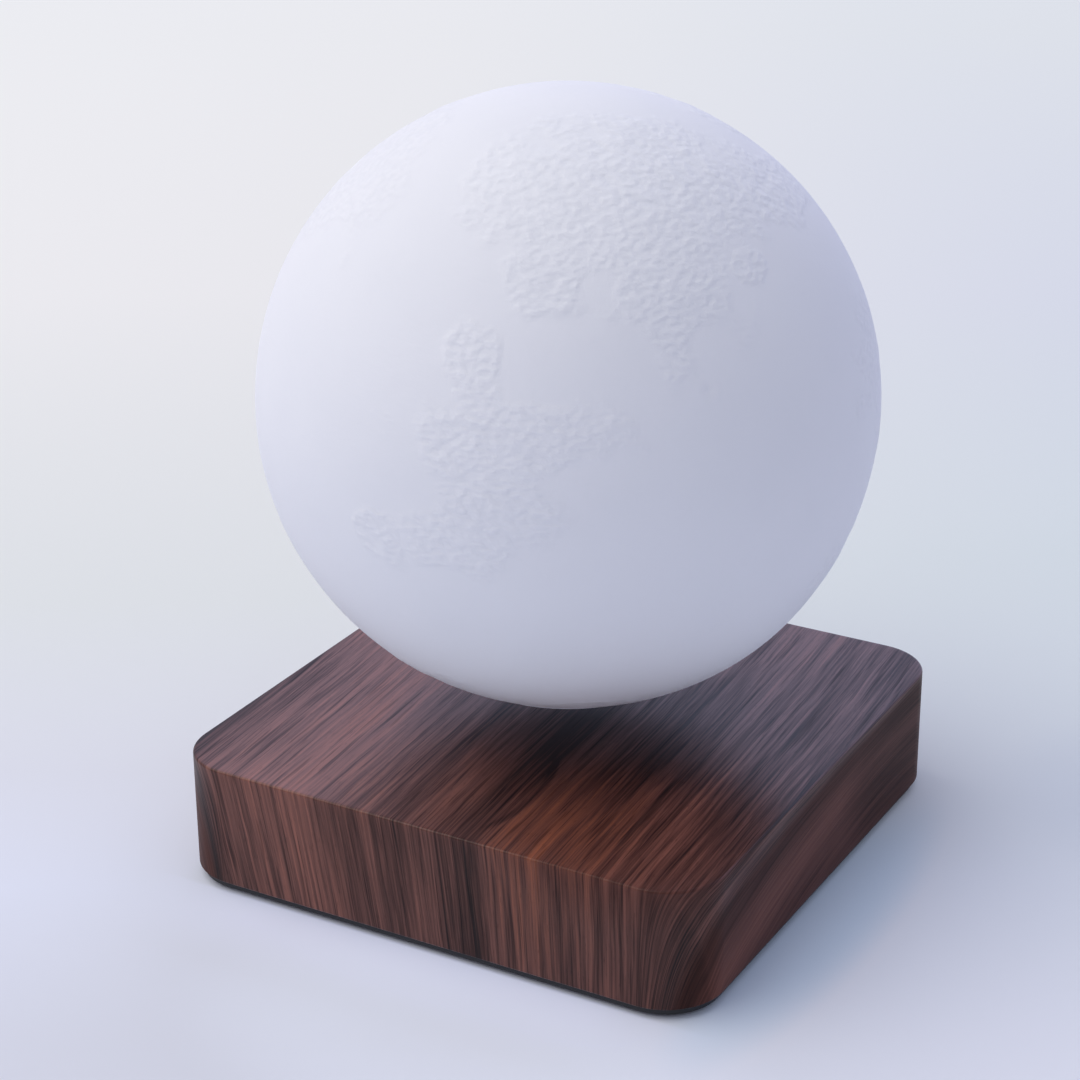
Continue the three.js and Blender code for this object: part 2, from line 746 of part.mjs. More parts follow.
function makeLed() {
  const lensRadius = ledSize * ledLensRadiusShare;
  const body = block(ledSize, ledSize, 0, ledHeight);
  return join(body, disc(lensRadius, ledHeight / 2, ledHeight + ledLensHeight, smallFacets));
}

// The base: casing, bottom plate and feet.
function makeBaseGroup() {
  const base = new THREE.Group();
  place(base, "base_casing", makeCasing(), woodSkin);
  place(base, "bottom_plate", makeBottomPlate(), blackPlastic);
  const footTop = plateLift + footRecess - seatGap;
  const foot = bevelledDisc(footRadius, 0, footTop, 0, footChamfer);
  corners(footPlace).forEach(([x, y], i) => place(base, `rubber_foot_${i + 1}`, foot, footRubber, [x, y, 0]));
  const casingFastener = screw(casingScrew).rotateX(Math.PI);
  corners(bossX, bossY).forEach(([x, y], i) =>
    place(base, `casing_screw_${i + 1}`, casingFastener, zincSteel, [x, y, screwSeat - seatGap]),
  );
  place(base, "dc_jack", makeJack(), blackPlastic);
  place(base, "jack_pin", makeJackPin(), nickelPlate);
  return base;
}

// The control board, with its chips, sensors and the touch switch.
function makeBoardGroup() {
  const group = new THREE.Group();
  place(group, "control_board", makeBoard(), boardGreen);
  place(group, "coil_driver_chip", makeChip(driverSize), blackPlastic, [driverX, -stripY, 0]);
  place(group, "controller_chip", makeChip(controllerSize), blackPlastic, [controllerX, -stripY, 0]);
  place(group, "power_inductor", makeInductor(), greyFerrite, [inductorX, stripY, 0]);
  const capacitor = bevelledDisc(
    capacitorRadius,
    boardTop + seatGap,
    boardTop + seatGap + capacitorHeight,
    capacitorEdge,
  );
  [-1, 1].forEach((side, i) =>
    place(group, `filter_capacitor_${i + 1}`, capacitor, aluminiumCan, [(side * capacitorPitch) / 2, stripY, 0]),
  );
  const sensor = makeUprightHallSensor();
  place(group, "hall_sensor_x", sensor, blackPlastic, [hallPitch, 0, 0], Math.PI / 2);
  place(group, "hall_sensor_y", sensor, blackPlastic, [0, hallPitch, 0]);
  place(group, "hall_sensor_z", makeFlatHallSensor(), blackPlastic);
  place(group, "touch_spring", makeTouchSpring(), zincSteel, [0, -stripY, 0]);
  const padTop = roofUnderside - seatGap;
  const pad = disc(touchPadRadius, padTop - touchPadThickness, padTop);
  place(group, "touch_pad", pad, copperWire, [0, -stripY, 0]);
  return group;
}

// The lifting magnet, the steering coils and the wireless power coil.
function makeMagnetGroup() {
  const group = new THREE.Group();
  place(group, "magnet_tray", makeTray(), blackPlastic);
  const magnet = bevelledRing(ringOuterRadius, ringInnerRadius, ringBottom, ringTop, ringChamfer, ringFacets);
  place(group, "ring_magnet", magnet, greyFerrite);
  const fastener = screw(boardScrew);
  corners(earPlace).forEach(([x, y], i) =>
    place(group, `board_screw_${i + 1}`, fastener, zincSteel, [x, y, trayTop + seatGap]),
  );
  const [bobbin, winding, core] = [makeBobbin(), makeWinding(), makeCore()];
  corners(coilPlace).forEach(([x, y], i) => {
    place(group, `coil_bobbin_${i + 1}`, bobbin, naturalNylon, [x, y, 0]);
    place(group, `coil_winding_${i + 1}`, winding, copperWire, [x, y, 0]);
    place(group, `coil_core_${i + 1}`, core, zincSteel, [x, y, 0]);
  });
  const coilTop = roofUnderside - seatGap;
  const coil = ring(powerCoilOuterRadius, powerCoilInnerRadius, powerCoilBottom, coilTop, ringFacets);
  place(group, "power_coil", coil, copperWire);
  place(group, "power_coil_lead", makePowerCoilLead(), redSleeve);
  return group;
}

// The floating globe, with its own centre as the group's origin.
function makeGlobeGroup() {
  const globe = new THREE.Group();
  globe.position.z = globeCentre;
  place(globe, "moon_shell", makeGlobeShell(), globeWhite);
  place(globe, "float_cup", makeCup(), whitePlastic);
  place(globe, "cup_lid", makeLid(), whitePlastic);
  const magnetTop = magnetBottom + floatMagnetHeight;
  const magnet = bevelledDisc(
    floatMagnetRadius, magnetBottom, magnetTop, floatMagnetChamfer, floatMagnetChamfer, ringFacets,
  );
  place(globe, "float_magnet", magnet, nickelPlate);
  const coilBottom = cupFloorTop + seatGap;
  const coil = ring(
    receiverCoilOuterRadius, receiverCoilInnerRadius, coilBottom, receiverCoilTop, ringFacets,
  );
  place(globe, "receiver_coil", coil, copperWire);
  place(globe, "receiver_lead", makeReceiverLead(), redSleeve);
  place(globe, "led_board", makeLedBoard(), whiteBoard);
  const led = makeLed();
  around(ledCount, ledRingRadius).forEach(([x, y, angle], i) =>
    place(globe, `led_${i + 1}`, led, ledYellow, [x, y, ledBoardTop + seatGap], angle),
  );
  const capacitorBottom = ledBoardTop + seatGap;
  const capacitor = bevelledDisc(
    storageCapacitorRadius, capacitorBottom, capacitorBottom + storageCapacitorHeight, capacitorEdge,
  );
  place(globe, "storage_capacitor", capacitor, aluminiumCan);
  const fastener = screw(ledScrew);
  around(ledScrewCount, ledScrewPlace, ledScrewTurn).forEach(([x, y], i) =>
    place(globe, `led_board_screw_${i + 1}`, fastener, zincSteel, [x, y, ledBoardTop + seatGap]),
  );
  return globe;
}

const lamp = new THREE.Group();
lamp.add(makeBaseGroup(), makeBoardGroup(), makeMagnetGroup(), makeGlobeGroup());

export default lamp;
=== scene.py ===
import json
import math
import bpy
import numpy as np
from mathutils import Matrix, Vector


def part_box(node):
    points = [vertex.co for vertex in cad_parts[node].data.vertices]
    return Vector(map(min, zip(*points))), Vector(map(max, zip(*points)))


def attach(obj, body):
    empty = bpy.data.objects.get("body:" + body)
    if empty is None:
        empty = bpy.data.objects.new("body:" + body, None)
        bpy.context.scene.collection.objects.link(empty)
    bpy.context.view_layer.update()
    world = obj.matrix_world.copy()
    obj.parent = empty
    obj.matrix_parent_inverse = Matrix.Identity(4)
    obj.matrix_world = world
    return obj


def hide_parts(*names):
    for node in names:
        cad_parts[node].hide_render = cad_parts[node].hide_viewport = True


# Levitating globe lamp: a walnut-look base, and a moon-like globe that floats over it.
# Metres, +Z up, the front towards -Y. Sizes in the dictionaries are millimetres where their notes say so.

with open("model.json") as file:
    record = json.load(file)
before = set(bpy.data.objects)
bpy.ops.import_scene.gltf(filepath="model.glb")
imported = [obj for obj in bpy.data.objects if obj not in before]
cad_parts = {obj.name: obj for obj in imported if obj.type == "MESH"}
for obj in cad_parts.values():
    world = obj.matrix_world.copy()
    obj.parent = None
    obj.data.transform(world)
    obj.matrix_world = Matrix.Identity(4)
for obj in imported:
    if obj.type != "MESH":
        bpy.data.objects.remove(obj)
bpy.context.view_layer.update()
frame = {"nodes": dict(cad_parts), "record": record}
cadNodes = frame["nodes"]
scene = bpy.context.scene
mm = 0.001
print("frame loaded:", len(cadNodes), "nodes")

# The camera stands where the photograph was taken from.
cameraPlace = {
    "place": (0.29561, -0.53488, 0.34129),
    "azimuth": 29.57,  # degrees that the view is turned to the left of +Y
    "pitch": 23.24,  # degrees down
    "roll": -0.337,
    "lens": 90.33,
    "sensor": 36.0,
}


def makeCamera(spec):
    azimuth, pitch, roll = (math.radians(spec[key]) for key in ("azimuth", "pitch", "roll"))
    forward = Vector((
        -math.sin(azimuth) * math.cos(pitch),
        math.cos(azimuth) * math.cos(pitch),
        -math.sin(pitch),
    ))
    level = Vector((math.cos(azimuth), math.sin(azimuth), 0.0))
    upright = level.cross(forward)
    right = level * math.cos(roll) + upright * math.sin(roll)
    up = upright * math.cos(roll) - level * math.sin(roll)
    data = bpy.data.cameras.new("camera")
    data.lens, data.sensor_width = spec["lens"], spec["sensor"]
    data.clip_start, data.clip_end = 0.01, 50.0
    camera = bpy.data.objects.new("camera", data)
    matrix = Matrix((right, up, -forward)).transposed().to_4x4()
    matrix.translation = spec["place"]
    camera.matrix_world = matrix
    scene.collection.objects.link(camera)
    scene.camera = camera


makeCamera(cameraPlace)
print("camera placed")


# Shader node helpers. Each adds one node to a tree and gives back its output.
def feed(tree, socket, value):
    if isinstance(value, bpy.types.NodeSocket):
        tree.links.new(value, socket)
    elif socket.type == "RGBA":
        socket.default_value = (*value[:3], 1.0)
    else:
        socket.default_value = value


def addNode(tree, kind, inputs=(), **settings):
    made = tree.nodes.new(kind)
    for name, value in settings.items():
        setattr(made, name, value)
    for key, value in dict(inputs).items():
        feed(tree, made.inputs[key], value)
    return made


def treeOf(values):
    return next(value.id_data for value in values if isinstance(value, bpy.types.NodeSocket))


def calc(operation, *values):
    return addNode(treeOf(values), "ShaderNodeMath", enumerate(values), operation=operation).outputs[0]


def plus(first, second):
    return calc("ADD", first, second)


def minus(first, second):
    return calc("SUBTRACT", first, second)


def times(first, second):
    return calc("MULTIPLY", first, second)


def over(first, second):
    return calc("DIVIDE", first, second)


def timesPlus(first, second, third):
    return calc("MULTIPLY_ADD", first, second, third)


def noise(place, scale=1.0, detail=2.0, roughness=0.5):
    inputs = {"Vector": place, "Scale": scale, "Detail": detail, "Roughness": roughness}
    return addNode(place.id_data, "ShaderNodeTexNoise", inputs).outputs["Fac"]


def stretch(place, scale, shift=(0.0, 0.0, 0.0)):
    inputs = {"Vector": place, "Scale": scale, "Location": shift}
    return addNode(place.id_data, "ShaderNodeMapping", inputs).outputs["Vector"]


def remap(value, low, high, toLow=0.0, toHigh=1.0):
    inputs = {"Value": value, "From Min": low, "From Max": high, "To Min": toLow, "To Max": toHigh}
    made = addNode(value.id_data, "ShaderNodeMapRange", inputs, interpolation_type="SMOOTHSTEP")
    return made.outputs[0]


def ramp(value, stops):
    made = addNode(value.id_data, "ShaderNodeValToRGB", {"Fac": value})
    elements = made.color_ramp.elements
    elements.remove(elements[1])
    for i, (position, color) in enumerate(stops):
        element = elements[0] if i == 0 else elements.new(position)
        element.position = position
        element.color = (*color, 1.0)
    return made.outputs["Color"]


def mixColor(factor, first, second, blend="MIX"):
    inputs = {0: factor, 6: first, 7: second}
    tree = treeOf(inputs.values())
    return addNode(tree, "ShaderNodeMix", inputs, data_type="RGBA", blend_type=blend).outputs[2]


def vectorMath(operation, *values):
    return addNode(treeOf(values), "ShaderNodeVectorMath", enumerate(values), operation=operation).outputs


def bump(height, distance):
    inputs = {"Height": height, "Distance": distance}
    return addNode(height.id_data, "ShaderNodeBump", inputs).outputs["Normal"]


def split(place):
    return addNode(place.id_data, "ShaderNodeSeparateXYZ", {"Vector": place}).outputs


def placeInMm(tree):
    place = addNode(tree, "ShaderNodeTexCoord").outputs["Object"]
    return stretch(place, (1000.0, 1000.0, 1000.0))


def newGroup(name, inputs, outputs):
    tree = bpy.data.node_groups.new(name, "ShaderNodeTree")
    kinds = {"color": "NodeSocketColor", "value": "NodeSocketFloat", "vector": "NodeSocketVector"}
    for label, kind in inputs.items():
        tree.interface.new_socket(name=label, in_out="INPUT", socket_type=kinds[kind])
    for label, kind in outputs.items():
        tree.interface.new_socket(name=label, in_out="OUTPUT", socket_type=kinds[kind])
    return tree, tree.nodes.new("NodeGroupInput").outputs, tree.nodes.new("NodeGroupOutput").inputs


def useGroup(group, inputs):
    tree = treeOf(inputs.values())
    made = addNode(tree, "ShaderNodeGroup", node_tree=group)
    for key, value in inputs.items():
        feed(tree, made.inputs[key], value)
    return made.outputs


def newMaterial(name, makeInputs):
    material = bpy.data.materials.new(name)
    material.use_nodes = True
    tree = material.node_tree
    tree.nodes.clear()
    shader = addNode(tree, "ShaderNodeBsdfPrincipled", makeInputs(tree))
    addNode(tree, "ShaderNodeOutputMaterial", {"Surface": shader.outputs["BSDF"]})
    return material


# The walnut film: colours in linear light, places and sizes in millimetres across (x) and along (y) the
# grain, from the middle of the top. The film runs on over the edges, so the sides lie beyond 71.5.
walnut = {
    "filmSize": 240.0,  # the film's square, unfolded, which the UV map covers
    "dark": (0.014, 0.0055, 0.0048),
    "mid": (0.100, 0.0340, 0.0240),
    "light": (0.270, 0.0960, 0.0640),
    "warm": (0.290, 0.0860, 0.0400),  # takes the place of light where the wood is warm, and in the patch of painted light at the front of the top
    "ink": (0.005, 0.0020, 0.0035),  # of the dark lines and the pores
    "tones": (0.05, 0.45, 0.95),  # at which dark, mid and light are full, and the same where the wood is warm
    "warmTones": (0.05, 0.42, 0.95),
    "wander": (3.0, 0.016, 0.009),  # how far the grain strays across, and its scale across and along
    "ripple": (0.6, 0.16, 0.060),
    "bands": (  # place across and tone, from the left side over the top to the right side; 32 at the most
        # The dark tone at -74 is painted shade on the left rounded corner.
        (-81, 0.42), (-74, 0.17), (-69, 0.46), (-53, 0.69), (-37, 0.75), (-31, 0.60), (-27, 0.48),
        (-21, 0.51), (-13, 0.43), (-6, 0.57), (-3, 0.59), (1, 0.35), (5, 0.23), (9, 0.27),
        (14, 0.58), (21, 0.64), (28, 0.53), (31.5, 0.39), (35, 0.57), (41, 0.49), (44, 0.60),
        (48, 0.45), (51, 0.53), (54, 0.34), (61, 0.40), (66, 0.38), (78, 0.26), (86, 0.27),
        (93, 0.50), (98, 0.60), (104, 0.46), (110, 0.42),
    ),
    "bandHalfRange": 110.0,
    "layers": (  # streaks, fibres, threads and hairs: scale across and along, roughness, weight
        (0.11, 0.008, 0.50, 0.30),
        (0.42, 0.012, 0.60, 0.75),
        (1.10, 0.022, 0.60, 1.10),
        (2.40, 0.050, 0.50, 0.65),
    ),
    "lines": {  # the noise's settings, the values at which a line starts and is full, and its strength
        "scale": (1.05, 0.028, 1.0), "shift": (31.0, 5.0, 0.0), "detail": 2.0, "roughness": 0.65,
        "from": 0.54, "full": 0.66, "strength": 0.52,
    },
    "pores": {
        "scale": (3.4, 0.30, 1.0), "shift": (11.0, 2.0, 0.0), "detail": 1.0, "roughness": 0.5,
        "from": 0.62, "full": 0.72, "strength": 0.30,
    },
    "sideStart": (73.0, 82.0),  # across, from where to where the look of the sides sets in
    "sideContrast": 0.40,  # the grain's contrast on the sides, and the gloss there, as shares of the top's
    "sideGloss": 0.45,
    "frontStart": (-70.0, -74.0),  # along, the same for the front, and the painted shade added to the tone there, which makes the front face darker
    "frontTone": -0.07,
    "darkPatches": (  # painted shade, middle, half sizes and depth: the globe's shadow under it, and shade at the back of the right side
        (17.0, -2.0, 34.0, 46.0, 0.29),
        (102.0, 42.0, 22.0, 32.0, 0.22),
    ),
    "vein": {
        "x": 13.0, "bow": 3.5, "y": -45.0, "length": 19.0, "width": 1.5, "core": 0.3, "ends": (1.15, 0.7),
        "strength": 0.30,
    },
    # painted light and reflection: a warmer, clearer tone at the front of the top, where the key lights it
    # and the gloss mirrors the globe's dark underside
    "warmPatch": (26.0, -60.0, 17.0, 40.0),
    "warmClouds": {
        "scale": (0.05, 0.012, 1.0), "shift": (7.0, 3.0, 0.0), "from": 0.52, "full": 0.72, "share": 0.6,
    },
    "mattPatch": (42.0, -48.0, 38.0, 36.0, 0.60),  # less gloss at the front of the top, standing in for the globe's dark reflection there; its last value: the share of the gloss that it takes away
    "darkRim": (1.3, 0.0),  # where the patches of each kind start and are whole, in squared distance
    "warmRim": (1.5, 0.2),
    "mattRim": (1.2, 0.1),
    "roughness": (0.55, 0.10, 0.12),  # and how much the threads and the dark marks add to it
    "markGloss": -0.5,  # what a dark mark does to the gloss
    "embossShares": (0.6, 0.4),  # of the threads and of the hairs
    "gloss": (0.05, 0.70, 0.60, 1.0),  # tones between which the clear layer thickens, and its two ends
    "clearRoughness": 0.30,
    "clearIndex": 1.45,
    "emboss": 0.00003,
}


def squared(value):
    return times(value, value)


def fromMiddle(value, middle, half):
    return over(minus(value, middle), half)


def patchMask(x, y, patch, rim, full):
    # 1 in the middle of an elliptical patch, 0 outside. The squared distance from the middle counts, and is
    # 1 on the ellipse: the mask starts at rim and is whole at full.
    middleX, middleY, halfX, halfY = patch[:4]
    away = plus(squared(fromMiddle(x, middleX, halfX)), squared(fromMiddle(y, middleY, halfY)))
    return remap(away, rim, full)


def swing(value):
    return minus(value, 0.5)


def strayFrom(x, place, stray):
    amount, acrossScale, alongScale = stray[:3]
    cloud = noise(stretch(place, (acrossScale, alongScale, 1.0)), detail=stray[3])
    return timesPlus(swing(cloud), amount, x)


def veinMask(x, y, spec):
    # A bowed dark vein: its middle lies at x - bow t^2, where t runs from -1 to 1 over its length.
    t = fromMiddle(y, spec["y"], spec["length"])
    bow = timesPlus(squared(t), -spec["bow"], spec["x"])
    beside = calc("ABSOLUTE", minus(x, bow))
    sides = remap(beside, spec["width"], spec["width"] * spec["core"])
    return times(sides, remap(calc("ABSOLUTE", t), *spec["ends"]))


def darkMarks(along, spec):
    pattern = noise(stretch(along, spec["scale"], spec["shift"]), 1.0, spec["detail"], spec["roughness"])
    return times(remap(pattern, spec["from"], spec["full"]), spec["strength"])


def makeWalnutGrain(look):
    # Tone = listed bands + streaks, fibres, threads and hairs, all noise drawn out along the grain. Thin dark
    # lines and short pores lie over it. The across coordinate strays a little on its way along.
    outputs = {"Color": "color", "Roughness": "value", "Gloss": "value", "Height": "value"}
    tree, given, result = newGroup("walnutGrain", {"Place": "vector"}, outputs)
    place = given["Place"]
    x, y, _ = split(place)
    across = strayFrom(x, place, (*look["wander"], 1.0))
    across = strayFrom(across, place, (*look["ripple"], 2.0))
    along = addNode(tree, "ShaderNodeCombineXYZ", {"X": across, "Y": y}).outputs[0]
    beside = calc("ABSOLUTE", x)
    contrast = remap(beside, *look["sideStart"], 1.0, look["sideContrast"])

    wide = 2.0 * look["bandHalfRange"]
    bands = [(0.5 + at / wide, (tone, tone, tone)) for at, tone in look["bands"]]
    tone = plus(ramp(timesPlus(across, 1.0 / wide, 0.5), bands), 0.0)
    layers = []
    for acrossScale, alongScale, roughness, weight in look["layers"]:
        layers.append(noise(stretch(along, (acrossScale, alongScale, 1.0)), roughness=roughness))
        tone = timesPlus(times(swing(layers[-1]), contrast), weight, tone)
    threads, hairs = layers[-2:]
    tone = timesPlus(veinMask(x, y, look["vein"]), -look["vein"]["strength"], tone)
    # painted shade: a darker tone where the globe's shadow falls under it, and at the back of the right side
    for patch in look["darkPatches"]:
        tone = timesPlus(patchMask(x, y, patch, *look["darkRim"]), -patch[-1], tone)
    # painted shade: the front face's tone is lowered
    tone = timesPlus(remap(y, *look["frontStart"]), look["frontTone"], tone)

    clouds = look["warmClouds"]
    warmCloud = remap(noise(stretch(along, clouds["scale"], clouds["shift"])), clouds["from"], clouds["full"])
    # painted light: the warm patch at the front of the top; the warm clouds above are the wood's own
    warmPatch = patchMask(across, y, look["warmPatch"], *look["warmRim"])
    warmCloudsAndPaintedLight = calc("MAXIMUM", warmPatch, times(warmCloud, clouds["share"]))
    cool, warm = (ramp(tone, zip(look[tones], (look["dark"], look["mid"], look[bright])))
                  for tones, bright in (("tones", "light"), ("warmTones", "warm")))
    marks = calc("MAXIMUM", darkMarks(along, look["lines"]), darkMarks(along, look["pores"]))
    shade = times(marks, contrast)

    # painted reflection: less gloss where the top mirrors the globe's dark underside
    matt = patchMask(x, y, look["mattPatch"], *look["mattRim"])
    gloss = times(remap(tone, *look["gloss"]), timesPlus(shade, look["markGloss"], 1.0))
    share = times(remap(beside, *look["sideStart"], 1.0, look["sideGloss"]),
                  timesPlus(matt, -look["mattPatch"][-1], 1.0))
    plain, byThreads, byMarks = look["roughness"]
    roughness = timesPlus(shade, byMarks, timesPlus(threads, byThreads, plain))
    threadShare, hairShare = look["embossShares"]
    height = minus(timesPlus(threads, threadShare, times(hairs, hairShare)), shade)
    feed(tree, result["Color"], mixColor(shade, mixColor(warmCloudsAndPaintedLight, cool, warm), look["ink"]))
    feed(tree, result["Roughness"], roughness)
    feed(tree, result["Gloss"], times(gloss, share))
    feed(tree, result["Height"], height)
    return tree


walnutGrain = makeWalnutGrain(walnut)


def woodInputs(tree):
    film = addNode(tree, "ShaderNodeUVMap", uv_map="film").outputs["UV"]
    size = walnut["filmSize"]
    place = stretch(film, (size, size, 1.0), (-size / 2.0, -size / 2.0, 0.0))
    grain = useGroup(walnutGrain, {"Place": place})
    return {
        "Base Color": grain["Color"],
        "Roughness": grain["Roughness"],
        "Normal": bump(grain["Height"], walnut["emboss"]),
        "Specular IOR Level": 0.0,
        "Coat Weight": grain["Gloss"],
        "Coat Roughness": walnut["clearRoughness"],
        "Coat IOR": walnut["clearIndex"],
    }


# Grained plastics: a fine spark-eroded texture, with a little wear in colour and gloss.
plastic = {
    "grainScale": 3.2,
    "cloudScale": 0.07,
    "grainGloss": 0.18,  # how much the grain and the wear change the roughness
    "wearGloss": 0.3,
}


def makePlasticGrain():
    inputs = {"Place": "vector", "Base": "color", "Gloss": "value", "Variation": "value"}
    outputs = {"Color": "color", "Roughness": "value", "Height": "value"}
    tree, given, result = newGroup("plasticGrain", inputs, outputs)
    fine = noise(given["Place"], plastic["grainScale"], detail=3.0, roughness=0.6)
    cloud = noise(given["Place"], plastic["cloudScale"], detail=3.0)
    spread = times(swing(cloud), given["Variation"])
    inputs = {0: given["Base"], 3: plus(1.0, spread)}
    feed(tree, result["Color"], addNode(tree, "ShaderNodeVectorMath", inputs, operation="SCALE").outputs[0])
    gloss = timesPlus(swing(fine), plastic["grainGloss"], given["Gloss"])
    feed(tree, result["Roughness"], timesPlus(spread, plastic["wearGloss"], gloss))
    feed(tree, result["Height"], fine)
    return tree


plasticGrain = makePlasticGrain()


def plasticInputs(base, gloss, variation, depth, **fixed):
    def make(tree):
        inputs = {"Place": placeInMm(tree), "Base": base, "Gloss": gloss, "Variation": variation}
        grain = useGroup(plasticGrain, inputs)
        return {
            "Base Color": grain["Color"],
            "Roughness": grain["Roughness"],
            "Normal": bump(grain["Height"], depth),
            **fixed,
        }
    return make


metal = {
    "stainScale": 0.35,
    "stained": 0.90,  # the tone where it is stained, as a share
    "streakGloss": 0.24,  # how much the streaks change the roughness
    "emboss": 0.00001,
}


def metalInputs(base, gloss, stretchScale, streakGloss=metal["streakGloss"]):
    # Bare metal: streaks of noise drawn out one way change the gloss, and stains the tone.
    def make(tree):
        place = placeInMm(tree)
        streak = noise(stretch(place, stretchScale), detail=3.0, roughness=0.6)
        stain = noise(place, metal["stainScale"], detail=3.0)
        tint = ramp(stain, [(0.3, tuple(metal["stained"] * c for c in base)), (0.7, base)])
        change = times(swing(streak), streakGloss)
        return {
            "Base Color": tint,
            "Metallic": 1.0,
            "Roughness": plus(change, gloss),
            "Normal": bump(streak, metal["emboss"]),
        }
    return make


# Windings: turns of enamelled wire seen side by side, up a bobbin or out across a flat coil.
winding = {
    "pitch": 0.45,  # millimetres from turn to turn, on a bobbin and in a flat coil
    "flatPitch": 0.9,
    # painted shade between the turns, where the round wires meet
    "gap": (0.09, 0.03, 0.015),
    "stained": (0.55, 0.23, 0.10),
    "bright": (0.66, 0.31, 0.14),
    "stainScale": 0.5,
    "roughness": (0.24, 0.36),
    "emboss": 0.0001,
    "enamel": (0.4, 0.15),  # weight and roughness of the clear layer
}


def makeWindingLines():
    inputs = {"Place": "vector", "Pitch": "value", "Flat": "value"}
    outputs = {"Height": "value", "Mask": "value"}
    tree, given, result = newGroup("windingLines", inputs, outputs)
    x, y, z = split(given["Place"])
    radius = calc("SQRT", plus(squared(x), squared(y)))
    turn = over(calc("ARCTAN2", y, x), 2.0 * math.pi)
    spiral = timesPlus(turn, given["Pitch"], radius)
    run = timesPlus(given["Flat"], minus(spiral, z), z)
    phase = calc("FRACT", over(run, given["Pitch"]))
    crown = calc("SQRT", minus(1.0, squared(timesPlus(phase, 2.0, -1.0))))  # each turn's round back
    feed(tree, result["Height"], crown)
    feed(tree, result["Mask"], remap(crown, 0.15, 0.75))
    return tree


windingLines = makeWindingLines()


def copperInputs(pitch, flat):
    def make(tree):
        place = placeInMm(tree)
        turns = useGroup(windingLines, {"Place": place, "Pitch": pitch, "Flat": flat})
        stain = noise(place, winding["stainScale"])
        wire = ramp(stain, [(0.3, winding["stained"]), (0.7, winding["bright"])])
        return {
            # painted shade on each turn's flanks, between the wires
            "Base Color": mixColor(turns["Mask"], winding["gap"], wire),
            "Metallic": 1.0,
            "Roughness": remap(stain, 0.2, 0.8, *winding["roughness"]),
            "Normal": bump(turns["Height"], winding["emboss"]),
            "Coat Weight": winding["enamel"][0],
            "Coat Roughness": winding["enamel"][1],
        }
    return make


# Circuit boards: straight tracks at right angles under the solder mask, with round vias.
board = {
    "cells": 0.11,  # fields of tracks per millimetre, and the tracks in each
    "tracks": 5.0,
    "trackEdge": (0.26, 0.20),  # half width, in tracks
    "fields": (0.06, 0.46, 0.52),  # noise scale, and its values where tracks start and are full
    "viaCells": 0.23,
    "viaEdge": (0.11, 0.08),
    "viaColor": (0.62, 0.60, 0.55),
    "weaveScale": 1.6,
    "roughness": (0.28, 0.42),
    "emboss": 0.00003,
}


def makeBoardTraces():
    outputs = {"Track": "value", "Via": "value"}
    tree, given, result = newGroup("boardTraces", {"Place": "vector"}, outputs)
    flat = stretch(given["Place"], (1.0, 1.0, 0.0))
    inputs = {"Vector": flat, "Scale": board["cells"]}
    squares = addNode(tree, "ShaderNodeTexVoronoi", inputs, distance="CHEBYCHEV").outputs["Distance"]
    bands = calc("FRACT", times(squares, board["tracks"]))
    track = remap(calc("ABSOLUTE", swing(bands)), *board["trackEdge"])
    scale, start, full = board["fields"]
    some = remap(noise(flat, scale, detail=1.0), start, full)
    feed(tree, result["Track"], times(track, some))
    inputs = {"Vector": flat, "Scale": board["viaCells"]}
    dots = addNode(tree, "ShaderNodeTexVoronoi", inputs).outputs["Distance"]
    feed(tree, result["Via"], remap(dots, *board["viaEdge"]))
    return tree


boardTraces = makeBoardTraces()


def boardInputs(mask, trackColor):
    def make(tree):
        place = placeInMm(tree)
        traces = useGroup(boardTraces, {"Place": place})
        color = mixColor(traces["Track"], mask, trackColor)
        color = mixColor(traces["Via"], color, board["viaColor"])
        weave = noise(place, board["weaveScale"])
        return {
            "Base Color": color,
            "Roughness": remap(weave, 0.2, 0.8, *board["roughness"]),
            "Metallic": traces["Via"],
            "Normal": bump(traces["Track"], board["emboss"]),
        }
    return make


# Magnets and cores: speckled dark grey, with the marks of grinding
magnet = {
    "dark": (0.030, 0.031, 0.033),
    "light": (0.060, 0.061, 0.064),
    "speckScale": 2.4,
    "grinding": (0.4, 6.0, 0.4),
    "roughness": (0.5, 0.75),
    "emboss": 0.00003,
}


def ferriteInputs(tree):
    place = placeInMm(tree)
    speck = noise(place, magnet["speckScale"], detail=4.0, roughness=0.7)
    marks = noise(stretch(place, magnet["grinding"]))
    return {
        "Base Color": ramp(speck, [(0.35, magnet["dark"]), (0.65, magnet["light"])]),
        "Roughness": remap(marks, 0.2, 0.8, *magnet["roughness"]),
        "Normal": bump(speck, magnet["emboss"]),
    }


# LEDs: white bodies with a yellow lens on top of each
led = {
    "body": (0.82, 0.81, 0.78),
    "lens": ((0.78, 0.60, 0.16), (0.88, 0.72, 0.26)),
    "lensHeight": (0.45, 0.35),  # millimetres under the top where the lens starts and is full
    "grainScale": 4.0,
    "roughness": (0.22, 0.34),
    "emboss": 0.00001,
    "coat": (0.5, 0.08),  # weight and roughness
}


def phosphorInputs(tree):
    place = placeInMm(tree)
    grains = noise(place, led["grainScale"], detail=3.0)
    lens = ramp(grains, zip((0.3, 0.7), led["lens"]))
    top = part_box("led_1")[1].z / mm
    start, full = led["lensHeight"]
    isLens = remap(split(place)["Z"], top - start, top - full)
    return {
        "Base Color": mixColor(isLens, led["body"], lens),
        "Roughness": remap(grains, 0.2, 0.8, *led["roughness"]),
        "Normal": bump(grains, led["emboss"]),
        "Coat Weight": led["coat"][0],
        "Coat Roughness": led["coat"][1],
    }


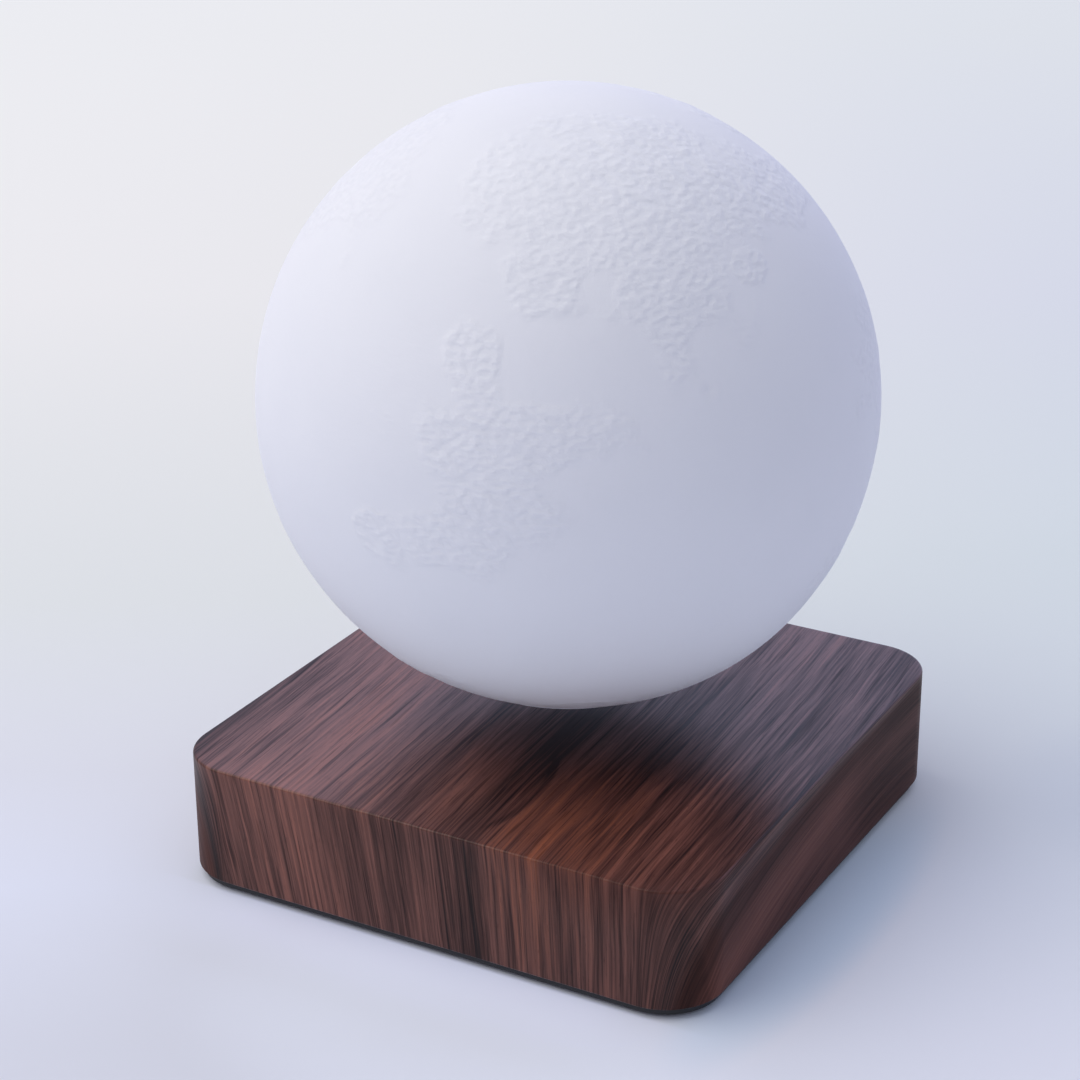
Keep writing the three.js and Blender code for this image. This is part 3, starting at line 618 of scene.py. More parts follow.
# The globe's print: pebbled highlands where the point attribute says so, smooth plains between.
moonPrint = {
    "plain": (0.885, 0.885, 0.900),
    # shade: painted shade in the highlands' hollows, and the random clouds of tone
    "shade": (0.845, 0.848, 0.868),
    "roughness": (0.67, 0.77),
    "pebble": (0.50, 0.50, 0.74),  # pebbles per millimetre, level and upright
    "fine": 2.3,  # finer pebbles on them: how much finer, and their share
    "fineShare": 0.10,
    "pebbleDepth": 0.00037,
    "plainShare": 0.08,  # of that depth, outside the highlands
    "grain": (2.5, 0.00002),  # scale and depth of the plastic's own grain
    "hollows": (0.62, 1.2),  # noise value under which a hollow gets painted shade, and how much
    "clouds": (0.035, 0.6),
    "tones": (0.1, 0.75),
}


def moonInputs(tree):
    look = moonPrint
    place = placeInMm(tree)
    highland = addNode(tree, "ShaderNodeAttribute", attribute_name="highland").outputs["Fac"]
    pebbles = noise(stretch(place, look["pebble"]), detail=0.5)
    fine = noise(stretch(place, tuple(look["fine"] * scale for scale in look["pebble"])), detail=1.0)
    grain = noise(place, look["grain"][0])
    strength = remap(highland, 0.0, 0.7, look["plainShare"], 1.0)
    height = times(timesPlus(fine, look["fineShare"], pebbles), strength)
    height = timesPlus(grain, look["grain"][1] / look["pebbleDepth"], height)
    cloudScale, cloudShare = look["clouds"]
    level, depth = look["hollows"]
    # painted shade in the pebbles' hollows, with random clouds of tone over it
    hollow = times(minus(level, pebbles), highland)
    tone = timesPlus(hollow, depth, times(noise(place, cloudScale, 3.0), cloudShare))
    return {
        "Base Color": mixColor(remap(tone, *look["tones"]), look["plain"], look["shade"]),
        "Roughness": remap(grain, 0.2, 0.8, *look["roughness"]),
        "Normal": bump(height, look["pebbleDepth"]),
        "Specular IOR Level": 0.3,
    }


# Each material has its slot's name in the record, without the line between the words. A plastic has a
# colour, roughness, wear and depth of its grain, and a metal a colour, roughness and the way of its streaks.
looks = {
    "walnutSkin": woodInputs,
    "blackPlastic": plasticInputs((0.018, 0.018, 0.020), 0.52, 0.3, 0.00002),
    "footRubber": plasticInputs((0.022, 0.022, 0.023), 0.82, 0.5, 0.00004),
    "zincSteel": metalInputs((0.55, 0.56, 0.57), 0.34, (1.0, 1.0, 6.0)),
    "nickelPlate": metalInputs((0.66, 0.63, 0.58), 0.18, (2.0, 2.0, 2.0), 0.10),
    "capacitorCan": metalInputs((0.62, 0.63, 0.66), 0.28, (0.4, 0.4, 9.0)),
    "boardGreen": boardInputs((0.012, 0.085, 0.035), (0.020, 0.130, 0.055)),
    "whiteBoard": boardInputs((0.78, 0.78, 0.75), (0.70, 0.70, 0.66)),
    "ferrite": ferriteInputs,
    "copper": copperInputs(winding["pitch"], 0.0),
    "flatCopper": copperInputs(winding["flatPitch"], 1.0),
    "nylon": plasticInputs((0.66, 0.62, 0.52), 0.45, 0.1, 0.00002),
    "redSleeve": plasticInputs((0.33, 0.018, 0.014), 0.38, 0.2, 0.00001),
    "globeWhite": moonInputs,
    "whitePlastic": plasticInputs((0.80, 0.80, 0.82), 0.45, 0.04, 0.00002),
    "ledPhosphor": phosphorInputs,
}
materials = {name: newMaterial(name, makeInputs) for name, makeInputs in looks.items()}
flatCoils = ("power_coil", "receiver_coil", "touch_pad")


def materialOf(slot, node=None):
    first, *others = slot.split("_")
    return materials["flatCopper" if node in flatCoils else first + "".join(word.title() for word in others)]


def dressCadNodes():
    for entry in frame["record"]["subparts"]:
        node = cadNodes[entry["node"]]
        if not node.material_slots:
            node.data.materials.append(None)
        for place in node.material_slots:
            place.material = materialOf(entry["material_slot"], entry["node"])


dressCadNodes()
print("materials made and given to the frame:", len(materials))


# Surfaces from numpy grids
smoothAngle = 32.0  # degrees; steeper edges are sharp


def gridMesh(name, places, film=None, closed=False, sharp=smoothAngle):
    # Rows of places, each running once round; the last column joins the first. A row whose places coincide
    # is a pole, kept as one vertex. Quads join each row to the next, and the last to the first if closed.
    rows = len(places)
    isPole = np.ptp(places, axis=1).max(axis=1) < 1e-9
    kept = ~isPole[:, None] | (np.arange(places.shape[1]) == 0)
    index = np.cumsum(kept.ravel()).reshape(kept.shape) - 1
    lower = np.arange(rows if closed else rows - 1)
    upper = (lower + 1) % rows

    def quads(values):
        here, there = values[lower], values[upper]
        around = [here, np.roll(here, -1, axis=1), np.roll(there, -1, axis=1), there]
        return np.stack(around, axis=2).reshape(-1, 4, *values.shape[2:])

    faces = quads(index)
    filmPlace = None if film is None else quads(film)
    vertices = places[kept]
    first, second, third, fourth = (vertices[faces[:, i]] for i in range(4))
    normal = np.cross(third - first, fourth - second)
    if np.einsum("ij,ij->", (first + second + third + fourth) / 4.0, normal) < 0:
        faces = faces[:, ::-1]
        filmPlace = None if film is None else filmPlace[:, ::-1]
    return meshFrom(name, vertices, faces, filmPlace, sharp)


def meshFrom(name, vertices, faces, filmPlace, sharp):
    # A quad with two equal neighbours in it becomes a triangle.
    double = faces == np.roll(faces, 1, axis=1)
    whole = ~double.any(axis=1)
    thin = faces[~whole]
    kept = ~double[~whole]
    triangles = thin[kept].reshape(-1, 3)
    mesh = bpy.data.meshes.new(name)
    mesh.from_pydata(vertices.tolist(), [], faces[whole].tolist() + triangles.tolist())
    if filmPlace is not None:
        flat = [filmPlace[whole].reshape(-1, 2), filmPlace[~whole][kept].reshape(-1, 2)]
        layer = mesh.uv_layers.new(name="film")
        layer.uv.foreach_set("vector", np.concatenate(flat).astype(np.float32).ravel())
    mesh.shade_smooth()
    mesh.set_sharp_from_angle(angle=math.radians(sharp))
    mesh.update()
    piece = bpy.data.objects.new(name, mesh)
    scene.collection.objects.link(piece)
    return piece


def roundCorners(profile, radius, steps=4):
    # Each inner corner of a profile becomes an arc that touches both of its sides.
    profile = np.asarray(profile, float)
    radii = np.broadcast_to(radius, len(profile))
    parts = [profile[:1]]
    for before, corner, after, size in zip(profile, profile[1:], profile[2:], radii[1:]):
        first, second = before - corner, after - corner
        reach = min(np.linalg.norm(first), np.linalg.norm(second)) * 0.49
        first, second = first / np.linalg.norm(first), second / np.linalg.norm(second)
        halfAngle = math.acos(np.clip(first @ second, -1.0, 1.0)) / 2.0
        tangent = min(size / math.tan(halfAngle), reach) if halfAngle < 1.56 else 0.0
        if tangent <= 0.0:
            parts.append(corner[None])
            continue
        share = np.linspace(0.0, 1.0, steps + 1)[:, None]
        start, end = corner + first * tangent, corner + second * tangent
        toMiddle = (first + second) / np.linalg.norm(first + second)
        centre = corner + toMiddle * tangent / math.cos(halfAngle)
        chord = (start - centre) * (1.0 - share) + (end - centre) * share
        arc = chord / np.linalg.norm(chord, axis=1)[:, None] * np.linalg.norm(start - centre)
        parts.append(centre + arc)
    parts.append(profile[-1:])
    return np.concatenate(parts)


def latheMesh(name, profile, columns, closed=False):
    # A profile of radius and height, carried once round the upright axis.
    angle = np.arange(columns) * (2.0 * math.pi / columns)
    radius, height = profile.T
    places = np.empty((len(radius), columns, 3))
    places[..., :2] = radius[:, None, None] * np.stack([np.cos(angle), np.sin(angle)], axis=-1)
    places[..., 2] = height[:, None]
    return gridMesh(name, places, closed=closed)


def roundPlan(perCorner, perSide):
    # One turn round a rounded rectangle: for each column the corner or side place that carries it, as shares
    # of the half sizes, and the outward direction there. A corner turns the direction, a side moves on.
    starts = np.array([[1, 1], [-1, 1], [-1, -1], [1, -1]], float)
    ends = np.roll(starts, -1, axis=0)
    quarter = math.pi / 2.0
    turns = np.concatenate([np.linspace(0.0, quarter, perCorner + 1), np.full(perSide - 1, quarter)])
    shares = np.concatenate([np.zeros(perCorner + 1), np.arange(1, perSide) / perSide])
    angles = (turns[None] + quarter * np.arange(4)[:, None]).ravel()
    shares = shares[None, :, None]
    carried = starts[:, None] * (1.0 - shares) + ends[:, None] * shares
    return carried.reshape(-1, 2), np.stack([np.cos(angles), np.sin(angles)], axis=-1)


def planRings(plan, half, corner, height):
    # Rows of a rounded rectangle: carried place x (half - corner) + direction x corner, at each row's height.
    carried, outward = plan
    half = np.asarray(half, float)
    half = half[:, None] * np.ones(2) if half.ndim == 1 else half
    corner = np.asarray(corner, float)[:, None, None]
    places = np.empty((len(half), len(carried), 3))
    places[..., :2] = carried * (half[:, None, :] - corner) + outward * corner
    places[..., 2] = np.asarray(height, float)[:, None]
    return places


def transformed(piece, matrix):
    piece.data.transform(matrix)
    piece.data.update()
    return piece


toBack = Matrix.Rotation(-math.pi / 2.0, 4, "X")  # turns an upright piece to point at the back


def moved(piece, x=0.0, y=0.0, z=0.0):
    return transformed(piece, Matrix.Translation((x * mm, y * mm, z * mm)))


def carve(piece, tools, operation):
    # Joins the tools to the piece, or cuts them out of it, one after another, and removes them.
    for tool in tools:
        modifier = piece.modifiers.new("carve", "BOOLEAN")
        modifier.object = tool
        modifier.operation = operation
        modifier.solver = "MANIFOLD"
    graph = bpy.context.evaluated_depsgraph_get()
    result = bpy.data.meshes.new_from_object(
        piece.evaluated_get(graph), preserve_all_data_layers=True, depsgraph=graph
    )
    piece.modifiers.clear()
    plain = piece.data
    result.name = piece.name
    piece.data = result
    bpy.data.meshes.remove(plain)
    for tool in tools:
        data = tool.data
        bpy.data.objects.remove(tool)
        bpy.data.meshes.remove(data)
    piece.data.set_sharp_from_angle(angle=math.radians(smoothAngle))


def asTool(piece, slot="black_plastic"):
    piece.data.materials.append(materialOf(slot))
    return piece


def pin(radius, low, high, x=0.0, y=0.0, columns=32):
    profile = np.array([(0.0, low), (radius, low), (radius, high), (0.0, high)])
    return moved(asTool(latheMesh("tool", profile * mm, columns)), x, y)


def boxTool(halfX, halfY, low, high, x=0.0, y=0.0, corner=0.2, slot="black_plastic"):
    sizes = np.array([[0.0, 0.0], [halfX, halfY], [halfX, halfY], [0.0, 0.0]])
    rounding = np.array([0.0, corner, corner, 0.0])
    places = planRings(roundPlan(3, 1), sizes, rounding, [low, low, high, high])
    return moved(asTool(gridMesh("tool", places * mm), slot), x, y)


def corners(x, y):
    return [(-x, -y), (x, -y), (x, y), (-x, y)]


def heightsOf(node):
    return (corner.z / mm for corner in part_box(node))


def keep(piece, body, slot, node):
    if not piece.data.materials:
        piece.data.materials.append(materialOf(slot))
    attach(piece, body)
    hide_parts(node)


# Base casing, millimetres. The walnut film covers the top and the four sides, down to the lower edge.
casing = {
    "half": 71.5,
    "corner": 15.0,
    "wall": 3.0,
    "roof": 3.0,
    "edge": 0.6,  # rounding of the top and the lower edge
    "rings": (0.0, 0.2, 0.4, 0.6, 0.8, 0.93, 0.985, 1.0),  # of the top, as shares of its half size
    "sideRow": 2.0,
    "perCorner": 24,
    "perSide": 24,
    "posts": (60.0, 40.0),
    "postRadius": 4.0,
    "postLow": 3.7,
    "ribWidth": 2.0,
    "pilotRadius": 1.5,
    "pilotTop": 15.7,
    "seat": (28.3, 29.8, 2.0),  # inner and outer radius, and depth, of the ring that holds the power coil
    "socketRadius": 4.3,
    "socketHeight": 15.5,
}
filmLay = {
    "turn": 0.07,  # the whole film, in millimetres across for each one along
    "frontLean": 0.12,  # lean of the grain on the front and the back, at the middle
    "frontLeanChange": -0.0021,  # and its change for each millimetre to the right
    "sideBow": 17.0,  # rise of the grain's arch on the left and the right side
    "sideTurn": 130.0,  # degrees of a half wave that the arch covers from the front to the back
    "settle": 9.0,  # how far down a side the arch takes to set in
}


def filmPlaces(carried, outward, flatPlace, onTop, run):
    # The film is laid on the top and folded straight down: a place on a side is as far out as its run down
    # the side. It leans a little on the front and the back, and on the other sides its grain rises in a flat
    # arch, bow x sin(turn x share of the way to the back).
    spec = filmLay
    core = casing["half"] - casing["corner"]
    unfolded = carried * core + outward * (casing["corner"] - casing["edge"] + run[:, None, None])
    place = np.where(onTop[:, None, None], flatPlace, unfolded)
    down = np.where(onTop, 0.0, run)[:, None]
    x, y = place[..., 0].copy(), place[..., 1].copy()
    frontShare, sideShare = outward[:, 1] ** 2, outward[:, 0] ** 2
    half = casing["half"]
    lean = spec["frontLean"] - spec["turn"] + spec["frontLeanChange"] * np.clip(x, -half, half)
    settle = 1.0 - np.exp(-down / spec["settle"])
    x -= lean * down * frontShare * np.sign(-outward[:, 1])
    backShare = np.clip((y + half) / (2.0 * half), 0.0, 1.0)
    arch = spec["sideBow"] * np.sin(math.radians(spec["sideTurn"]) * backShare)
    x += arch * settle * sideShare * np.sign(outward[:, 0])
    x += spec["turn"] * y
    return 0.5 + np.stack([x, y], axis=-1) / walnut["filmSize"]


def casingRows(low, high, inner):
    # Half size, corner and height of each row: the top's rings, its edge, the side, the lower edge, the rim,
    # and the inside up to the middle of the ceiling. Two rings close to the edge hold its shading there.
    spec = casing
    half, corner, edge = spec["half"], spec["corner"], spec["edge"]
    shares = np.array(spec["rings"])
    turns = np.linspace(0.0, math.pi / 2.0, len(shares) + 1)[1:]
    inset, drop = edge * (1.0 - np.sin(turns)), edge * (1.0 - np.cos(turns))
    length = high - low - 2.0 * edge
    down = np.linspace(0.0, length, int(length / spec["sideRow"]) + 1)[1:]
    inShares = np.array([1.0, 1.0, 0.6, 0.0])
    ceiling = high - spec["roof"]
    rows = [
        (shares * (half - edge), shares * (corner - edge), np.full(len(shares), high)),
        (half - inset, corner - inset, high - drop),
        (np.full(len(down), half), np.full(len(down), corner), high - edge - down),
        (half - inset[-2::-1], corner - inset[-2::-1], low + drop[-2::-1]),
        ([half - edge], [corner - edge], [low]),
        (inner * inShares, (corner - spec["wall"]) * inShares, [low, ceiling, ceiling, ceiling]),
    ]
    outerRows = sum(len(part[0]) for part in rows[:4]) + 1
    return [np.concatenate([part[i] for part in rows]) for i in range(3)], len(shares), outerRows


def barePlastic(mesh, high, inner):
    # The inside and the lower rim aren't covered by the film.
    underTop, straightDown = 1.5, -0.98
    centre, facing = np.empty((2, len(mesh.polygons) * 3))
    mesh.polygons.foreach_get("center", centre)
    mesh.polygons.foreach_get("normal", facing)
    centre, facing = centre.reshape(-1, 3), facing.reshape(-1, 3)
    widest = np.abs(centre[:, :2]).max(axis=1) / mm
    under = (centre[:, 2] / mm < high - underTop) & (facing[:, 2] < straightDown)
    inwards = np.einsum("ij,ij->i", centre[:, :2], facing[:, :2]) < -1e-6
    return under | inwards | ((facing[:, 2] < -0.5) & (widest < inner))


def makeCasing():
    spec = casing
    low, high = heightsOf("base_casing")
    half, wall = spec["half"], spec["wall"]
    plan = roundPlan(spec["perCorner"], spec["perSide"])
    (halves, rounding, heights), topRows, outerRows = casingRows(low, high, half - wall)
    places = planRings(plan, halves, rounding, heights)
    steps = np.hypot(np.diff(halves), np.diff(heights))
    run = np.concatenate([np.zeros(topRows), np.cumsum(steps[topRows - 1:])])
    onTop = np.arange(len(halves)) < topRows
    film = filmPlaces(*plan, places[..., :2], onTop, np.minimum(run, run[outerRows]))
    piece = gridMesh("walnut_casing", places * mm, film=film)
    asTool(piece, "walnut_skin")
    asTool(piece)
    bare = barePlastic(piece.data, high, half - wall)
    piece.data.polygons.foreach_set("material_index", bare.astype(np.int32))

    inRoof, inWall = high - spec["roof"] / 2.0, half - wall / 2.0
    added = []
    for x, y in corners(*spec["posts"]):
        side = math.copysign(1.0, x)
        added.append(pin(spec["postRadius"], spec["postLow"], inRoof, x, y))
        added.append(boxTool((inWall - abs(x)) / 2.0, spec["ribWidth"] / 2.0, spec["postLow"], inRoof,
                             side * (abs(x) + inWall) / 2.0, y))
    seatInner, seatOuter, seatDepth = spec["seat"]
    seatLow = high - spec["roof"] - seatDepth
    ring = np.array([(seatInner, seatLow), (seatOuter, seatLow), (seatOuter, inRoof), (seatInner, inRoof)])
    carve(piece, added + [asTool(latheMesh("tool", ring * mm, 96, closed=True))], "UNION")
    holes = [pin(spec["pilotRadius"], 0.0, spec["pilotTop"], x, y, 24) for x, y in corners(*spec["posts"])]
    hole = transformed(pin(spec["socketRadius"], 0.0, 3.0 * wall, columns=64), toBack)
    moved(hole, 0.0, half - 2.0 * wall, spec["socketHeight"])
    carve(piece, holes + [hole], "DIFFERENCE")
    keep(piece, "base", "walnut_skin", "base_casing")


# Bottom plate with its screws and feet, millimetres
plate = {
    "half": 68.2,
    "corner": 11.7,
    "top": 3.6,
    "flange": (70.3, 13.8, 2.5),  # half size, corner and top of the part that covers the casing's rim
    "edge": 0.25,
    "standoffs": (42.99, 42.99),
    "standoffRadius": 3.5,
    "standoffTop": 8.2,
    "standoffBore": (1.35, 4.05),  # radius and bottom
    "screws": (60.0, 40.0),
    "counterbore": (3.05, 1.4),  # radius and depth
    "screwBore": 1.5,
    "feet": (56.2, 56.2),
    "footSeat": (6.3, 0.8),
    "label": (30.0, 15.0, 0.4, 2.0),  # half sizes, depth, corner
}


def makePlate():
    spec = plate
    low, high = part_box("bottom_plate")[0].z / mm, spec["top"]
    half, corner, edge = spec["half"], spec["corner"], spec["edge"]
    flangeHalf, flangeCorner, flangeTop = spec["flange"]
    profile = roundCorners([
        (0.0, low), (flangeHalf, low), (flangeHalf, flangeTop), (half, flangeTop), (half, high), (0.0, high),
    ], [0.0, edge, edge, edge / 2.0, edge, 0.0], steps=3)
    halves, heights = profile.T
    straight = np.where(heights < flangeTop + edge, flangeHalf - flangeCorner, half - corner)
    rounding = np.where(halves > 0.0, halves - straight, 0.0)
    piece = asTool(gridMesh("base_plate", planRings(roundPlan(12, 4), halves, rounding, heights) * mm))
    carve(piece, [pin(spec["standoffRadius"], (low + high) / 2.0, spec["standoffTop"], x, y)
                  for x, y in corners(*spec["standoffs"])], "UNION")
    below = low - 1.0
    cuts = []
    for places, radius, start, end, columns in (
        ("standoffs", spec["standoffBore"][0], spec["standoffBore"][1], spec["standoffTop"] + 0.8, 24),
        ("screws", spec["counterbore"][0], below, low + spec["counterbore"][1], 48),
        ("screws", spec["screwBore"], below, high + 0.4, 24),
        ("feet", spec["footSeat"][0], below, low + spec["footSeat"][1], 64),
    ):
        cuts += [pin(radius, start, end, x, y, columns) for x, y in corners(*spec[places])]
    halfX, halfY, depth, rounding = spec["label"]
    cuts.append(boxTool(halfX, halfY, below, low + depth, corner=rounding))
    carve(piece, cuts, "DIFFERENCE")
    keep(piece, "base", "black_plastic", "bottom_plate")


foot = {
    "radius": 6.0, "edge": 0.5, "dish": 0.12, "dishRadius": 4.2, "slope": 0.5, "soft": 0.3, "softTop": 0.2,
}


def makeFeet():
    radius, edge, dish, dishRadius, slope, soft, softTop = foot.values()
    for i, (x, y) in enumerate(corners(*plate["feet"]), 1):
        low, high = heightsOf(f"rubber_foot_{i}")
        profile = roundCorners([
            (0.0, low + dish), (dishRadius, low + dish), (dishRadius + slope, low),
            (radius - edge, low), (radius, low + edge), (radius, high), (0.0, high),
        ], [0.0, soft, soft, soft, soft, softTop, 0.0])
        piece = moved(latheMesh(f"foot_pad_{i}", profile * mm, 64), x, y)
        keep(piece, "base", "foot_rubber", f"rubber_foot_{i}")


screw = {
    "headRadius": 2.8,
    "headHeight": 1.3,
    "crown": 0.35,
    "shankRadius": 1.25,
    "threadDepth": 0.22,
    "threadRows": 76,
    "runOut": 0.5,  # from the head, over which the thread sets in
    "pitch": 0.8,
    "tip": 1.2,
    "cross": (4.2, 0.7, 0.7),  # length, width and depth of the driver recess
    "turn": 0.7,  # radians that each screw is turned further than the one before
}


def screwPlaces(low, high, columns=32):
    # Head below, point above. The thread is a helix:
    # radius = shank - depth x (triangle wave of height/pitch - turn).
    spec = screw
    seat = low + spec["headHeight"]
    angle = np.arange(columns) * (2.0 * math.pi / columns)
    crown = np.linspace(0.0, math.pi / 2.0, 5)
    headRadius = np.append(spec["headRadius"] * np.sin(crown), spec["headRadius"])
    headHeight = np.append(low + spec["crown"] * (1.0 - np.cos(crown)), seat)
    height = np.linspace(seat, high, spec["threadRows"])
    taper = np.clip((high - height) / spec["tip"], 0.0, 1.0)
    wave = np.abs(2.0 * ((height[:, None] / spec["pitch"] - angle / (2.0 * math.pi)) % 1.0) - 1.0)
    cut = spec["threadDepth"] * np.clip((height - seat) / spec["runOut"], 0.0, 1.0)[:, None]
    radius = np.concatenate([
        headRadius[:, None] * np.ones(columns),
        (spec["shankRadius"] - cut * wave) * taper[:, None],
    ])
    height = np.concatenate([headHeight, height])[:, None] * np.ones(columns)
    return np.stack([radius * np.cos(angle), radius * np.sin(angle), height], axis=-1)


def makeScrews():
    length, width, depth = screw["cross"]
    for i, (x, y) in enumerate(corners(*plate["screws"]), 1):
        low, high = heightsOf(f"casing_screw_{i}")
        piece = asTool(gridMesh(f"plate_screw_{i}", screwPlaces(low, high) * mm), "zinc_steel")
        arms = [boxTool(halfX, halfY, low - 1.0, low + depth, corner=0.15, slot="zinc_steel")
                for halfX, halfY in ((length / 2.0, width / 2.0), (width / 2.0, length / 2.0))]
        carve(piece, arms, "DIFFERENCE")
        moved(transformed(piece, Matrix.Rotation(screw["turn"] * i, 4, "Z")), x, y)
        keep(piece, "base", "zinc_steel", f"casing_screw_{i}")


# Power socket, millimetres: a moulded block whose nose fills the hole in the back wall
socket = {
    "halfWidth": 4.5,
    "bodyCorner": 0.3,
    "noseRadius": 4.0,
    "noseRoot": 2.0,  # how far inside the body the nose starts
    "noseEdge": 0.25,
    "boreRadius": 3.1,
    "boreDepth": 10.0,
    "mouthBevel": 0.35,
    "bodyBack": 68.4,
    "pinRadius": 1.0,
    "pinTip": 0.7,
}


def makeSocket():
    spec = socket
    low, high = (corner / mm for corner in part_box("dc_jack"))
    mouth = high.y
    body = boxTool(spec["halfWidth"], (spec["bodyBack"] - low.y) / 2.0, low.z, high.z, 0.0,
                   (spec["bodyBack"] + low.y) / 2.0, corner=spec["bodyCorner"])
    body.name = body.data.name = "power_socket"
    middle = (low.z + high.z) / 2.0
    radius, start = spec["noseRadius"], low.y + spec["noseRoot"]
    nose = [(0.0, start), (radius, start), (radius, mouth), (0.0, mouth)]
    nose = roundCorners(nose, [0.0, 0.0, spec["noseEdge"], 0.0])
    radius, bevel, start = spec["boreRadius"], spec["mouthBevel"], mouth - spec["boreDepth"]
    bore = np.array([
        (0.0, start), (radius, start), (radius, mouth - bevel), (radius + bevel, mouth + 0.01),
        (radius + bevel, mouth + 1.0), (0.0, mouth + 1.0),
    ])
    for profile, operation in ((nose, "UNION"), (bore, "DIFFERENCE")):
        tool = transformed(asTool(latheMesh("tool", profile * mm, 64)), toBack)
        carve(body, [moved(tool, z=middle)], operation)
    keep(body, "base", "black_plastic", "dc_jack")
    low, high = (corner.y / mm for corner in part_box("jack_pin"))
    radius = spec["pinRadius"]
    profile = [(0.0, low), (radius, low), (radius, high), (0.0, high)]
    profile = roundCorners(profile, [0.0, 0.0, spec["pinTip"], 0.0], steps=8)
    piece = transformed(latheMesh("socket_pin", profile * mm, 48), toBack)
    keep(moved(piece, z=middle), "base", "nickel_plate", "jack_pin")


makeCasing()
makePlate()
makeFeet()
makeScrews()
makeSocket()
print("base made")


# Seeded value noise for the globe's relief
def latticeValue(cell, seed):
    mask = np.uint64(0xFFFFFFFF)
    x, y, z = (cell[..., i].astype(np.int64).astype(np.uint64) & mask for i in range(3))
    mixed = (x * np.uint64(73856093)) ^ (y * np.uint64(19349663)) ^ (z * np.uint64(83492791))
    mixed = (mixed ^ np.uint64(seed * 2654435761 & 0xFFFFFFFF)) & mask
    mixed = ((mixed ^ (mixed >> np.uint64(15))) * np.uint64(2246822519)) & mask
    mixed = ((mixed ^ (mixed >> np.uint64(13))) * np.uint64(3266489917)) & mask
    return (mixed ^ (mixed >> np.uint64(16))).astype(float) / float(0xFFFFFFFF)


def softNoise(places, seed):
    # Random values on whole-number lattice points, blended between the eight round each place; from -1 to 1.
    cell = np.floor(places)
    part = places - cell
    blend = part * part * (3.0 - 2.0 * part)
    total = np.zeros(places.shape[:-1])
    for corner in np.ndindex(2, 2, 2):
        weight = np.prod(np.where(corner, blend, 1.0 - blend), axis=-1)
        total += weight * latticeValue(cell + corner, seed)
    return 2.0 * total - 1.0


def layeredNoise(places, wavelength, layers, seed):
    # Soft noise summed over layers, each half as long and half as strong as the one before.
    total = np.zeros(places.shape[:-1])
    for i in range(layers):
        total += softNoise(places * (2.0 ** i / wavelength), seed + i) * 0.5 ** i
    return total / (2.0 - 0.5 ** (layers - 1))


# The globe, millimetres and degrees. Longitude 0 faces the front and grows towards +X.
globe = {
    "wall": 1.6,
    "columns": 400,
    "outerRows": 200,
    "innerRows": 14,
    "sideGap": 0.3,  # from the cup to the neck
    "neckWall": 2.0,
    "neckTop": 15.0,  # over the cup's underside
    "neckRound": 0.4,
    "lipRound": 0.25,
    "lipStep": 0.25,  # degrees from the lip to the first row outside
    "relief": 0.30,  # furthest that the print rises or falls
    "sink": 0.32,  # the print's mean level, below the full radius
    "lipFade": 4.0,  # way up from the opening over which the print sets in
    "bulge": (85.0, -46.0, 42.0, 0.9),  # a fuller side, low down: longitude, latitude, half width and height
    "seed": 7,
    "highlands": (  # longitude, latitude, half width, half height
        (50, 61, 24, 14), (51, 38, 11, 12), (9, 56, 8, 10), (25, 39, 6, 6), (72, 38, 4, 3), (10, 24, 4, 6),
        (21, 13, 17, 7), (18, 0, 9, 7), (-6, -8, 5, 6), (10, -7, 11, 5), (-18, -50, 12, 5), (36, -57, 9, 4),
        (82, 52, 12, 9), (101, 50, 13, 9),
    ),
    "hiddenHighlands": 20,  # round the back, placed at random
    "rimNoise": (9.0, 0.75),  # wavelength and strength of what breaks up a highland's rim
    "rim": (1.35, 0.8),  # where the rim ends, in its own half sizes, and how wide it is
    "swell": (26.0, 0.10),  # wavelength and height
    "hills": (4.2, 0.20),
    "hillScale": (0.8, 0.8, 1.3),  # longer round the globe than up it
    "craters": 900,
    "craterRadii": (1.3, 6.0),
    "craterDepth": 0.028,  # for each millimetre of the radius
    "craterRim": (0.45, 1.05, 0.28),  # height as a share of the depth; distance and width in radii
    "plainCraters": 0.12,  # the craters' strength outside the highlands
    "namedCraters": (  # longitude, latitude, radius and depth
        (54.4, 19.2, 1.9, 0.30), (78, -15, 2.6, 0.06), (-2, 19, 3.0, 0.05),
    ),
}


def directions(longitude, latitude):
    longitude, latitude = np.radians(longitude), np.radians(latitude)
    return np.stack([
        np.sin(longitude) * np.cos(latitude),
        -np.cos(longitude) * np.cos(latitude),
        np.sin(latitude) * np.ones_like(longitude),
    ], axis=-1)


def highlandMask(facing, radius):
    # Ellipses on the globe, their rims broken up by noise: 1 inside, 0 outside.
    spec = globe
    random = np.random.default_rng(spec["seed"])
    patches = [list(map(float, patch)) for patch in spec["highlands"]]
    for _ in range(spec["hiddenHighlands"]):
        spot = [random.uniform(105.0, 305.0), random.uniform(-50.0, 75.0)]
        patches.append(spot + [random.uniform(8.0, 22.0), random.uniform(5.0, 13.0)])
    wavelength, strength = spec["rimNoise"]
    rough = layeredNoise(facing * radius, wavelength, 3, spec["seed"] + 50) * strength
    end, width = spec["rim"]
    mask = np.zeros(facing.shape[:-1])
    for longitude, latitude, halfWidth, halfHeight in patches:
        centre = directions(longitude, latitude)
        east = directions(longitude + 90.0, 0.0)
        north = np.cross(centre, east) * -1.0
        across = facing @ east / math.sin(math.radians(halfWidth))
        upward = facing @ north / math.sin(math.radians(halfHeight))
        reach = np.sqrt(across ** 2 + upward ** 2) + rough
        soft = np.clip((end - reach) / width, 0.0, 1.0)
        mask = np.maximum(mask, np.where(facing @ centre > 0.0, soft * soft * (3.0 - 2.0 * soft), 0.0))
    return mask


